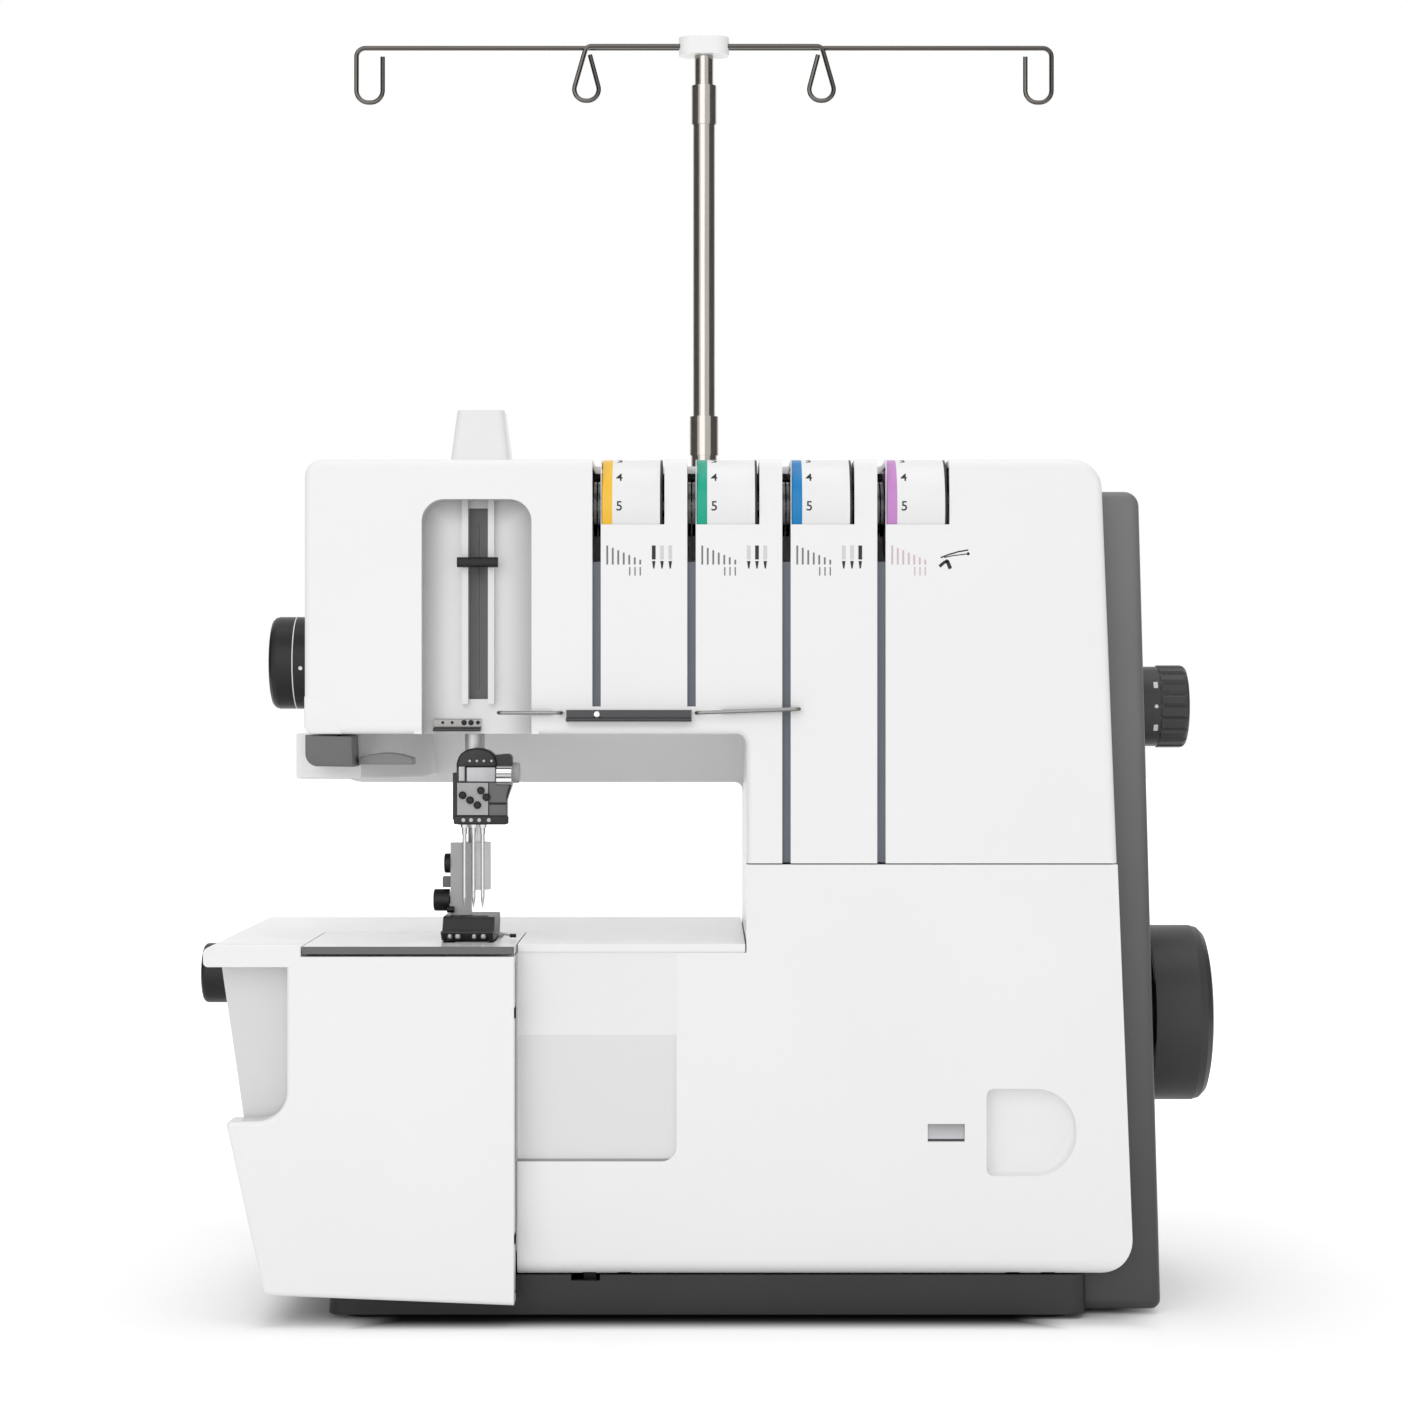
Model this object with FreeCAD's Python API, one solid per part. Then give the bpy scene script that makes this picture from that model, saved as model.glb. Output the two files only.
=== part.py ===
"""A coverstitch sewing machine with three needles and one looper, as an assembly of separate pieces.

Millimetres, +Z up, +X to the right of the person sewing, -Y towards that person.
The origin is under the middle of the machine, on the table that its feet stand on.
"""
import FreeCAD, Part
import math
import os

V = FreeCAD.Vector

# Overall sizes
HALF_WIDTH = 211.0          # the handwheel's face and the feed dial's face are this far out
HALF_DEPTH = 140.0          # front of the side cover and back of the spool tray
BODY_FRONT = -125.0         # front face of the housing
BODY_BACK = 35.0            # back face of the housing
COVER_SPLIT = -60.0         # the front covers meet the rear cover here
BODY_TOP = 345.0            # top of the housing
BED_TOP = 151.0             # sewing surface
SEAM_HEIGHT = 183.0         # the upper front cover ends here and the hinged front cover begins
PLINTH_TOP = 18.0           # top of the dark base
FOOT_HEIGHT = 2.0           # the rubber feet lift the base by this much
FOOT_RADII = (12.0, 13.5)   # at the table and at the base
FOOT_XS = (-136.0, 136.0)
FOOT_YS = (-104.0, 18.0)
WALL = 3.0                  # moulded wall of the housing
SEAM_GAP = 0.5              # gap between two moulded pieces
RUN = 0.3                   # gap between pieces that move past each other
FIT = 0.05                  # radial clearance of a shaft in its bush

# Housing outline, seen from the front
HEAD_LEFT = -161.0
HEAD_BOTTOM = 235.0
HEAD_BACK_DROP = 22.0       # the underside of the head falls this much towards the back
THROAT_RIGHT = 16.0
RIGHT_TOP = 158.0
RIGHT_BOTTOM = 171.0
BED_LEFT = -199.0
BED_FOOT_LEFT = -176.0
BED_SIDE_TOP = -194.0       # the bed's left wall leans in from here to its foot
CORNER = 12.0
FRONT_CORNER = 14.0         # lower right corner of the front cover
SLOPE_RUN = 45.0            # depth of the slope under the head
SCREW_R = 1.5
SCREW_HEAD_R = 3.4

COVER_RETURN = 12.0         # the hinged cover's edges turn in by this much
BASE_LEFT = -152.0
BASE_RIGHT = 152.5
BASE_FRONT = BODY_FRONT + 4.0
BASE_NOTCH = (-54.4, -42.7)   # slot in the base's upper edge under the front cover
BASE_NOTCH_DEPTH = 2.4
END_FOOT_X = 184.0          # outer face of the dark end cover at its foot and at its top
END_TOP_X = 175.0
END_TOP_Z = BODY_TOP - 12.0
END_FRONT = BODY_FRONT + 13.0

# Power inlet and switch, low on the right end
INLET_YS = (-30.0, -4.0)
SWITCH_YS = (2.0, 16.0)
INLET_ZS = (34.0, 54.0)
INLET_BACK = 164.0
INLET_FACE = END_FOOT_X + 1.0
SWITCH_AXIS_X = INLET_FACE - 4.0
SWITCH_PIN_R = 1.2
SWITCH_PIN_OUT = 1.5         # the rocker's pins reach this far into the end cover

# Sewing point
NEEDLE_X = -95.0
NEEDLE_Y = -100.0
PRESSER_Y = -84.0
SIDE_SEAM_X = -76.0         # seam between the side cover and the front cover

PLATE_LEFT = -160.0         # needle plate
PLATE_BACK = -62.0
PLATE_THICK = 3.0
NEEDLE_PITCH = 3.7
NEEDLE_R = 0.8
NEEDLE_TIP = 164.0
CLAMP_FOOT = 198.0
CLAMP_TOP = 228.0
NEEDLE_BAR_TOP = BODY_TOP + 13.0
FOOT_TOP = 160.5
FOOT_BOTTOM = BED_TOP + RUN
ANKLE_TOP = 190.0
NEEDLE_BAR_R = 3.5
PRESSER_BAR_R = 3.5
PRESSER_BAR_TOP = BODY_TOP - 11.0
LIFTER_SHAFT_R = 3.0        # shaft of the presser foot lifter, through the back of the head
LIFTER_X = -70.0
LIFTER_Z = HEAD_BOTTOM + 14.0
CAM_R = 6.6
CAM_THROW = 7.0
CAM_REST = math.radians(-30)
LOWER_GUIDE = (HEAD_BOTTOM + WALL + 0.5, HEAD_BOTTOM + WALL + 6.0)
UPPER_GUIDE = (BODY_TOP - 27.0, BODY_TOP - 19.0)
BAR_HOLE_GAP = 1.5
HEAD_HOLES = (
    (NEEDLE_X, NEEDLE_Y, NEEDLE_BAR_R + BAR_HOLE_GAP),
    (NEEDLE_X, PRESSER_Y, PRESSER_BAR_R + BAR_HOLE_GAP),
)

# Take-up lever and the hollow in the head's face that it works in
TAKE_UP_X = -92.0
TAKE_UP_Z = BODY_TOP - 41.0
TAKE_UP_SLOT = (HEAD_BOTTOM + 14.0, BODY_TOP - 19.0)
TAKE_UP_SLOT_HALF = 4.0
RAIL = 2.5                  # width of the rail on each side of the slot
RAIL_DEPTH = 4.0
FINGER_HALF = 8.2           # half width of the lever's finger in front of the slot
NECK_HALF = 1.2
RECESS_FLOOR = BODY_FRONT + 12.0
RECESS_LEFT = -114.0
RECESS_RIGHT = -70.0
RECESS_TOP = BODY_TOP - 16.0
TAKE_UP_ROD_X = -78.0
TAKE_UP_ROD_Y = -105.0
TAKE_UP_ROD_R = 2.0
HOOD_X = -91.5
HOOD_TOP = BODY_TOP + 21.0
HOOD_WALL = 2.0
HOOD_FOOT_HALF = (12.0, 13.0)
HOOD_TOP_HALF = (9.5, 10.0)

# Drive line
SHAFT_Y = -45.0
MAIN_SHAFT_Z = 116.0
UPPER_SHAFT_Z = BODY_TOP - 45.0
MAIN_SHAFT_R = 6.0
UPPER_SHAFT_R = 5.0
TIMING_R = 18.0
TIMING_X = 121.0
TIMING_WIDTH = 10.0
DRIVE_X = 140.0
DRIVE_WIDTH = 9.0
DRIVE_WHEEL_R = 32.0
MOTOR_PULLEY_R = 8.0
MOTOR_Y = -2.0
MOTOR_Z = 62.0
MOTOR_R = 27.0
MOTOR_SHAFT_R = 3.0
BELT = 2.0

# Dials
HANDWHEEL_R = 37.0
HANDWHEEL_WIDTH = 24.5
LENGTH_DIAL_R = 17.5
LENGTH_DIAL_Z = 246.0
LENGTH_DIAL_FACE = 203.5
LENGTH_DIAL_RIBS = 20
LENGTH_DIAL_GRIP = 12.0      # length of the ribbed part
RIB_DEPTH = 0.9
FEED_DIAL_R = 12.5
FEED_DIAL_Z = 134.0
FEED_DIAL_Y = -60.0
PRESSURE_DIAL_R = 19.0
PRESSURE_DIAL_Z = 264.0
PRESSURE_DIAL_Y = -82.0
PRESSURE_DIAL_WIDTH = 18.0
DIAL_STEM_R = 5.0
HANDWHEEL_HUB_R = 14.0
TENSION_R = 20.0
TENSION_WIDTH = 20.0
TENSION_RING = 4.0
TENSION_Y = BODY_FRONT + TENSION_R - 1.0
TENSION_Z = BODY_TOP + 1.0 - TENSION_R
TENSION_PITCH = 38.0
TENSION_FIRST_X = -44.0     # centre of the left thread slot
SLOT_WIDTH = 3.4
LINER_TOP = BODY_TOP - 41.0   # the slots are open into the housing above this
TENSION_SPINDLE_R = 3.0
TENSION_DISC_R = 11.0
TENSION_COLOURS = ("yellow", "green", "blue", "violet")

# Thread mast and spool tray
TRAY_TOP = BODY_TOP - 69.0
TRAY_THICK = 14.0
TRAY_HALF = 150.0
SPOOL_XS = (-108.0, -40.0, 40.0, 108.0)
SPOOL_Y = 98.0
SPOOL_PIN_R = 3.0
SPOOL_PIN_TIP_R = 2.75      # free end that takes a spool
SPOOL_PIN_TOP = TRAY_TOP + 64.0
CONE_DISC_R = 26.0
CONE_HEIGHT = 22.0
MAST_X = -1.0
MAST_Y = 62.0
MAST_OUTER_R = 6.0
MAST_TUBE_WALL = 0.8
MAST_COLLAR = 0.7
MAST_COLLAR_LENGTH = 18.0
MAST_OUTER_TOP = BODY_TOP + 34.0
MAST_MIDDLE_TOP = BODY_TOP + 186.0
MAST_FOOT = TRAY_TOP - 60.0
MAST_MIDDLE_FOOT = BODY_TOP
MAST_TOP_FOOT = BODY_TOP + 85.0
GUIDE_Z = BODY_TOP + 204.0
GUIDE_HALF = 160.0
GUIDE_WIRE_R = 1.1
GUIDE_CAP = (11.5, 7.0, 4.0)   # half sizes of the block that holds the wires
WIRE_SEAT = 6.0
EYE_WIDTH = 12.0
EYE_DROP = 25.0
TEARDROP_X = 54.0

# Small fittings on the head
GUIDE_BAR_X = (-56.0, -6.0)
GUIDE_BAR_Z = HEAD_BOTTOM + 5.0
HEAD_WIRE_R = 0.8
NEEDLE_GUIDE_X = (-110.0, -91.0)
LAMP_X = (-139.0, -118.0)

# Drive line along the shafts
MAIN_SHAFT_X = (-66.0, 200.0)
UPPER_SHAFT_X = (-112.0, 134.0)
ECCENTRIC_R = 11.0
ECCENTRIC_THROW = 3.0
ECCENTRIC_WIDTH = 10.0
CRANK_R = 8.0
CRANK_WIDTH = 8.0
FLANGE = 1.0
MOTOR_X = (20.0, 98.0)
MOTOR_SHAFT_END = 152.0
MOTOR_CRADLE = (30.0, 90.0, -20.0, 16.0)

# Needle clamp, presser foot and lifter
SHANK_R = 1.1
NEEDLE_TOP = 209.0
CLAMP_X = (-101.5, -88.0)
CLAMP_Y = (-106.0, -94.0)
COLLAR_R = 4.2
COLLAR_Z = (UPPER_SHAFT_Z - 8.0, UPPER_SHAFT_Z + 4.0)
ROCKER_X = (-88.5, -84.5)
ROCKER_TIP_Y = -93.0
ANKLE_X = (-105.0, -96.5)
ANKLE_Y = (-93.0, -87.5)
SLEEVE_R = 6.0
FOOT_X = (-107.0, -86.0)
FOOT_Y = (-119.0, -74.0)
PRESSER_ARM = (LIFTER_Z + CAM_THROW * math.sin(CAM_REST) + CAM_R + RUN, 5.0)
CAM_Y = (-88.0, -80.0)
LEVER_LENGTH = 28.0
LEVER_HUB_R = 6.0
LEVER_TIP_R = 4.5
LEVER_REST = math.radians(-70)
LEVER_Y = (BODY_BACK + 1.0, BODY_BACK + 9.0)

# Feed dogs, looper and take-up
FEED_ROWS = ((-105.5, -102.0), (-88.0, -84.5))
FEED_TEETH = BED_TOP - 0.4
FEED_Y = (-97.0, -80.0)
SECOND_Y = (-113.0, -101.2)
LOOPER_TOP = 133.0
GUARD = 0.8
CARRIAGE_Z = (TAKE_UP_Z - 6.0, TAKE_UP_Z + 6.0)

# Hinged front cover
COVER_AXIS_IN = 6.0         # the hinge axis lies this far inside the front face and above the foot
COVER_AXIS_Y = BODY_FRONT + COVER_AXIS_IN
COVER_AXIS_Z = PLINTH_TOP + SEAM_GAP + COVER_AXIS_IN
COVER_PIN_R = 1.5
COVER_EARS = (-40.0, 130.0)
EAR_WIDTH = 8.0
EAR_R = 4.5
EAR_ROUND = 4.0
EAR_RISE = 14.0
POST_WIDTH = 5.0
POST_HALF = 2.5             # half height of the post's arm round the pin
POST_COLUMN = (BODY_FRONT + 14.0, BODY_FRONT + 20.0)
GRIP_X = 120.0              # finger grip
GRIP_Z = 75.6
GRIP_LEFT = 8.0
GRIP_RIGHT = 28.0
GRIP_HALF = 17.5
GRIP_DEPTH = 8.0
WINDOW = (88.5, 103.3, 71.9, 79.0)
WINDOW_DEPTH = 2.0
STEP_RIGHT = -12.0          # shallow step in the face beside the side cover
STEP_FOOT = 64.0
STEP_CREASE = 114.6         # the step's floor falls away below this height
STEP_DEPTHS = (0.6, 0.9, 2.2)   # at the bed, at the crease and at the foot

# Hinged side cover
SIDE_AXIS_X = SIDE_SEAM_X - 5.0
SIDE_AXIS_IN = 3.8          # the hinge rod lies this far behind the side cover's face
SIDE_AXIS_Y = -HALF_DEPTH + SIDE_AXIS_IN
SIDE_ROD_R = 1.5
SIDE_FOOT = 9.0
SIDE_FOOT_RISE = 4.0        # the foot of the panel climbs this much to its left corner
SIDE_FOOT_LEFT = -175.0
SIDE_LEFT = -190.5
SIDE_BACK = BODY_FRONT - 1.5
SIDE_TOP = BED_TOP - PLATE_THICK - 1.0
LIP = 8.0                   # thickness of the edge over the finger scoop
SCOOP_X = -166.0
SCOOP_FOOT = 82.0
KNUCKLES = ((38.0, 50.0), (108.0, 120.0))
KNUCKLE_R = 3.5
HINGE_ARMS = ((32.0, 36.0), (122.0, 126.0))
HINGE_ARM_WIDTH = 6.0

# Chassis
CHASSIS_FLOOR = PLINTH_TOP + 1.0
CHASSIS_TOP = CHASSIS_FLOOR + 6.0
CHASSIS_LEFT = -158.0
CHASSIS_RIGHT = 150.0
CHASSIS_FRONT = -104.0
CHASSIS_BACK = BODY_BACK - 7.0
CHASSIS_SEATS = [(x, y) for x in (-140.0, 140.0) for y in (-95.0, 20.0)]
BED_POST = (-112.0, -104.5)  # front and back of the post that holds the side cover's hinge
BEAM_LEFT = -150.0
BEAM_Y = (-36.0, -30.0)
BEAM_Z = (HEAD_BOTTOM + 15.0, BODY_TOP - 15.0)
COLUMN_XS = ((58.0, 66.0), (106.0, 114.0))
COLUMN_Y = (-75.0, -32.0)
BRACKET_X = (-105.0, -74.0)
BRACKET_FRONT = -108.4
BUSH_WALL = 2.5
LEFT_BEARING = (-52.0, -44.0)
ARM_BEARING = (-66.0, -58.0)
ROCKER_Z = UPPER_SHAFT_Z - 16.0
ROCKER_R = 3.0
ROCKER_BEARING = (-80.0, -72.0)
LOOPER_X = -86.0
LOOPER_Z = 45.0
LOOPER_SHAFT_R = 3.0
LOOPER_BEARING = (-72.0, -60.0)
PLATE_POSTS = ((-158.0, -150.0, -82.0, -70.0), (-81.5, -77.0, -72.0, -64.0))
FEED_POST = (-99.0, -91.0, -88.0, -72.0)
FEED_SEAT = 120.0           # the feed dog's foot slides on its post here
SECOND_POST = (-90.5, -84.5, -72.0, -61.0)
SECOND_SEAT = 141.0
TENSION_ARM = 4.0

OUT = "parts"
os.makedirs(OUT, exist_ok=True)


def corner_wire(points, place):
    """Closed wire through (u, v, radius) corners; each corner is an arc tangent to its two sides."""
    count = len(points)
    ends = []
    for i in range(count):
        u, v, r = points[i]
        before = V(*points[i - 1][:2], 0) - V(u, v, 0)
        after = V(*points[(i + 1) % count][:2], 0) - V(u, v, 0)
        corner = V(u, v, 0)
        if r <= 0:
            ends.append((corner, None, corner))
            continue
        before.normalize()
        after.normalize()
        half = before.getAngle(after) / 2
        reach = r / math.tan(half)
        middle = (before + after).normalize()
        tip = corner + middle * (r / math.sin(half) - r)
        ends.append((corner + before * reach, tip, corner + after * reach))
    edges = []
    for i in range(count):
        start, tip, stop = ends[i]
        if tip is not None:
            edges.append(Part.Arc(place(start), place(tip), place(stop)).toShape())
        following = ends[(i + 1) % count][0]
        if (following - stop).Length > 1e-6:
            edges.append(Part.LineSegment(place(stop), place(following)).toShape())
    return Part.Wire(edges)


def prism_y(points, y0, y1):
    """Outline of (x, z, radius) corners carried from y0 to y1."""
    wire = corner_wire(points, lambda p: V(p.x, y0, p.y))
    return Part.Face(wire).extrude(V(0, y1 - y0, 0))


def prism_x(points, x0, x1):
    """Outline of (y, z, radius) corners carried from x0 to x1."""
    wire = corner_wire(points, lambda p: V(x0, p.x, p.y))
    return Part.Face(wire).extrude(V(x1 - x0, 0, 0))


def prism_z(points, z0, z1):
    """Outline of (x, y, radius) corners carried from z0 to z1."""
    wire = corner_wire(points, lambda p: V(p.x, p.y, z0))
    return Part.Face(wire).extrude(V(0, 0, z1 - z0))


def box(x0, x1, y0, y1, z0, z1):
    return Part.makeBox(x1 - x0, y1 - y0, z1 - z0, V(x0, y0, z0))


def rect(u0, u1, v0, v1, r=0.0):
    return [(u0, v0, r), (u1, v0, r), (u1, v1, r), (u0, v1, r)]


def rod_x(r, x0, x1, y, z):
    return Part.makeCylinder(r, x1 - x0, V(x0, y, z), V(1, 0, 0))


def rod_y(r, y0, y1, x, z):
    return Part.makeCylinder(r, y1 - y0, V(x, y0, z), V(0, 1, 0))


def rod_z(r, z0, z1, x, y):
    return Part.makeCylinder(r, z1 - z0, V(x, y, z0), V(0, 0, 1))


def save(name, *solids):
    """Writes one node; several separate solids stay separate in one compound."""
    shape = solids[0] if len(solids) == 1 else Part.makeCompound(list(solids))
    if len(solids) == 1:
        shape = shape.removeSplitter()
    for solid in shape.Solids:
        if not solid.isValid():
            raise ValueError(name + " has a solid that is not valid")
    shape.exportStep(os.path.join(OUT, name + ".step"))
    pieces = len(shape.Solids)
    print(f"{name:28s} solids {pieces:2d} volume {shape.Volume / 1000:8.2f} cm3")


def right_edge(z):
    """X of the housing's right side at height z; the side leans in towards the top."""
    share = (z - PLINTH_TOP) / (BODY_TOP - PLINTH_TOP)
    return RIGHT_BOTTOM + (RIGHT_TOP - RIGHT_BOTTOM) * share


def drum_x(r, x0, x1, y, z, edge, face=1):
    """Round drum along X whose rim on the side that face points to is rounded by edge in three strips."""
    end, start = (x1, x0) if face > 0 else (x0, x1)
    bend = [math.radians(a) for a in (0, 30, 60, 90)]
    rim = [(end - face * edge * (1 - math.sin(a)), r - edge * (1 - math.cos(a))) for a in bend]
    profile = [V(x, y, z + h) for x, h in [(start, 0), (start, r)] + rim + [(end, 0)]]
    outline = Part.Face(Part.makePolygon(profile + profile[:1]))
    return outline.revolve(V(0, y, z), V(1, 0, 0), 360)


def upper_profile(inset):
    """Head and column outline above the seam, drawn in by inset."""
    bottom = SEAM_HEIGHT + SEAM_GAP / 2
    return [
        (HEAD_LEFT + inset, HEAD_BOTTOM + inset, CORNER),
        (THROAT_RIGHT + inset, HEAD_BOTTOM + inset, 4.0),
        (THROAT_RIGHT + inset, bottom, 0),
        (right_edge(bottom) - inset, bottom, 0),
        (right_edge(BODY_TOP) - inset, BODY_TOP - inset, CORNER),
        (HEAD_LEFT + inset, BODY_TOP - inset, 7.0),
    ]


# Upper front cover: the moulded face of the head and column
def take_up_recess(inset, front, back):
    """Hollow in the head's face round the take-up slot, open at the underside."""
    left, right, top = RECESS_LEFT + inset, RECESS_RIGHT - inset, RECESS_TOP - inset
    return prism_y(
        [(left, HEAD_BOTTOM - 20, 0), (right, HEAD_BOTTOM - 20, 0), (right, top, 9.0), (left, top, 9.0)],
        front, back)


def tension_x(index):
    """Left side of a tension dial's rim."""
    return TENSION_FIRST_X + index * TENSION_PITCH + SLOT_WIDTH / 2 + 0.6


def slot_x(index):
    return TENSION_FIRST_X + index * TENSION_PITCH


def slot_foot(index):
    """The two left thread slots end above the thread guide, the two right ones at the seam."""
    return HEAD_BOTTOM + 11 if index < 2 else SEAM_HEIGHT - 5


def upper_front_cover():
    outer = prism_y(upper_profile(0), BODY_FRONT, COVER_SPLIT - SEAM_GAP / 2)
    front_edges = [e for e in outer.Edges if abs(e.BoundBox.YMax - BODY_FRONT) < 1e-6]
    outer = outer.makeFillet(3.0, [e for e in front_edges if e.BoundBox.ZMin > SEAM_HEIGHT + 1])
    inner = prism_y(upper_profile(WALL), BODY_FRONT + WALL, COVER_SPLIT + 1)
    below = box(THROAT_RIGHT + WALL, right_edge(SEAM_HEIGHT) - WALL, BODY_FRONT + WALL, COVER_SPLIT + 1,
                SEAM_HEIGHT - 5, SEAM_HEIGHT + WALL + 5)
    column_side = box(THROAT_RIGHT, THROAT_RIGHT + WALL, BODY_FRONT + COVER_RETURN + SEAM_GAP,
                      COVER_SPLIT - SEAM_GAP / 2, BED_TOP + SEAM_GAP, SEAM_HEIGHT + WALL)
    pocket = take_up_recess(0, BODY_FRONT - 1, RECESS_FLOOR)
    pocket_wall = take_up_recess(-WALL, BODY_FRONT + 0.5, RECESS_FLOOR + WALL)
    pocket_wall = pocket_wall.common(prism_y(upper_profile(0), BODY_FRONT, COVER_SPLIT))
    shell = outer.cut(inner).cut(below).fuse([pocket_wall, column_side]).cut(pocket)
    z0, z1 = TAKE_UP_SLOT
    for x in (TAKE_UP_X - TAKE_UP_SLOT_HALF - RAIL, TAKE_UP_X + TAKE_UP_SLOT_HALF):
        rail = box(x, x + RAIL, RECESS_FLOOR - RAIL_DEPTH, RECESS_FLOOR + 1, z0 - 2, RECESS_TOP + 1)
        shell = shell.fuse(rail)
    shell = shell.cut(box(TAKE_UP_X - TAKE_UP_SLOT_HALF, TAKE_UP_X + TAKE_UP_SLOT_HALF,
                          RECESS_FLOOR - 1, RECESS_FLOOR + WALL + 1, z0, z1))
    for index in range(4):
        x = slot_x(index)
        foot = slot_foot(index)
        shell = shell.cut(box(x - SLOT_WIDTH / 2, x + SLOT_WIDTH / 2, BODY_FRONT - 1, BODY_FRONT + WALL + 1,
                              foot, BODY_TOP + 1))
        shell = shell.cut(box(x - SLOT_WIDTH / 2, x + SLOT_WIDTH / 2, BODY_FRONT - 1, TENSION_Y + TENSION_R,
                              BODY_TOP - WALL - 1, BODY_TOP + 1))
        left = tension_x(index) - RUN
        right = tension_x(index) + TENSION_RING + TENSION_WIDTH + RUN + 0.6
        shell = shell.cut(box(left, right, BODY_FRONT - 1, TENSION_Y + TENSION_R + RUN,
                              TENSION_Z, BODY_TOP + 1))
        shell = shell.cut(rod_x(TENSION_R + RUN, left, right, TENSION_Y, TENSION_Z))
    shell = shell.cut(rod_x(DIAL_STEM_R + RUN, HEAD_LEFT - 1, HEAD_LEFT + WALL + 1,
                            PRESSURE_DIAL_Y, PRESSURE_DIAL_Z))
    for x, y, r in HEAD_HOLES:
        shell = shell.cut(rod_z(r, HEAD_BOTTOM - 1, HEAD_BOTTOM + WALL + 1, x, y))
    top_hole = rod_z(NEEDLE_BAR_R + BAR_HOLE_GAP, BODY_TOP - WALL - 1, BODY_TOP + 1, NEEDLE_X, NEEDLE_Y)
    return shell.cut(top_hole)


# Rear cover: back half of the head, column and lower housing
def rear_profile(inset):
    """Whole housing outline right of the bed; the inner one is open at the foot."""
    bottom = HEAD_BOTTOM - HEAD_BACK_DROP + inset
    foot = PLINTH_TOP + SEAM_GAP if inset == 0 else PLINTH_TOP - 1
    return [
        (HEAD_LEFT + inset, bottom, CORNER),
        (THROAT_RIGHT + inset, bottom, 4.0),
        (THROAT_RIGHT + inset, foot, 0),
        (right_edge(foot) - inset, foot, 0),
        (RIGHT_TOP - inset, BODY_TOP - inset, CORNER),
        (HEAD_LEFT + inset, BODY_TOP - inset, 7.0),
    ]


def head_slope(rise, right):
    """Wedge under the head between the front edge and the lower back edge."""
    y0, y1 = COVER_SPLIT, COVER_SPLIT + SLOPE_RUN
    z0, z1 = HEAD_BOTTOM + rise, HEAD_BOTTOM - HEAD_BACK_DROP + rise
    return prism_x([(y0 - 5, z0, 0), (y0, z0, 0), (y1, z1, 0), (y1, z1 - 40, 0), (y0 - 5, z1 - 40, 0)],
                   HEAD_LEFT - 1, right)


def rear_screw_places():
    top = BODY_TOP - 13.0
    return [(-146.0, HEAD_BOTTOM - 3), (-146.0, top), (0.0, top), (144.0, top), (150.0, 40.0), (30.0, 40.0)]


def rear_cover():
    outer = prism_y(rear_profile(0), COVER_SPLIT + SEAM_GAP / 2, BODY_BACK)
    back_edges = [e for e in outer.Edges if abs(e.BoundBox.YMin - BODY_BACK) < 1e-6]
    rims = [e for e in back_edges if e.BoundBox.ZMin > PLINTH_TOP + 1]
    outer = outer.makeFillet(3.0, rims).cut(head_slope(0, THROAT_RIGHT))
    inner = prism_y(rear_profile(WALL), COVER_SPLIT - 1, BODY_BACK - WALL)
    shell = outer.cut(inner.cut(head_slope(WALL * 1.1, THROAT_RIGHT + WALL)))
    shell = shell.cut(box(THROAT_RIGHT - 1, THROAT_RIGHT + WALL + 1, COVER_SPLIT - 1, BODY_BACK - WALL,
                          PLINTH_TOP - 1, BED_TOP - WALL))
    shell = shell.cut(box(INLET_BACK - 1, HALF_WIDTH, INLET_YS[0] - RUN, SWITCH_YS[1] + RUN,
                          INLET_ZS[0] - RUN, INLET_ZS[1] + RUN))
    for r, z in ((MAIN_SHAFT_R, MAIN_SHAFT_Z), (DIAL_STEM_R, LENGTH_DIAL_Z)):
        shell = shell.cut(rod_x(r + 1, RIGHT_TOP - 12, RIGHT_BOTTOM + 5, SHAFT_Y, z))
    shell = shell.cut(rod_y(LIFTER_SHAFT_R + FIT, BODY_BACK - WALL - 1, BODY_BACK + 1, LIFTER_X, LIFTER_Z))
    for x, z in rear_screw_places():
        shell = shell.cut(rod_y(SCREW_R + FIT, BODY_BACK - WALL - 1, BODY_BACK + 1, x, z))
    return shell


# Bed cover: the white shell of the sewing bed
def bed_cover():
    right = THROAT_RIGHT - SEAM_GAP
    foot = PLINTH_TOP + SEAM_GAP
    outline = [(BED_LEFT, BED_TOP - LIP, 2.0), (BED_SIDE_TOP, BED_TOP - LIP, 0), (BED_FOOT_LEFT, foot, 0),
               (right, foot, 0), (right, BED_TOP, 0), (BED_LEFT, BED_TOP, 3.0)]
    hollow = [(BED_SIDE_TOP + WALL, BED_TOP - LIP, 0), (BED_FOOT_LEFT + WALL, foot - 1, 0),
              (right + 1, foot - 1, 0), (right + 1, BED_TOP - WALL, 0),
              (BED_SIDE_TOP + WALL, BED_TOP - WALL, 0)]
    shell = prism_y(outline, BODY_FRONT, BODY_BACK).cut(prism_y(hollow, BODY_FRONT + WALL, BODY_BACK - WALL))
    shell = shell.cut(box(PLATE_LEFT - SEAM_GAP, right + 1, BODY_FRONT - 1, BODY_FRONT + WALL + 1,
                          foot - 1, BED_TOP - WALL))
    shell = shell.cut(box(PLATE_LEFT - SEAM_GAP, SIDE_SEAM_X + SEAM_GAP, -HALF_DEPTH - 1,
                          PLATE_BACK + SEAM_GAP, BED_TOP - 40, BED_TOP + 1))
    return shell.cut(rod_x(DIAL_STEM_R + RUN, BED_LEFT - 1, BED_LEFT + 20, FEED_DIAL_Y, FEED_DIAL_Z))


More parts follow.
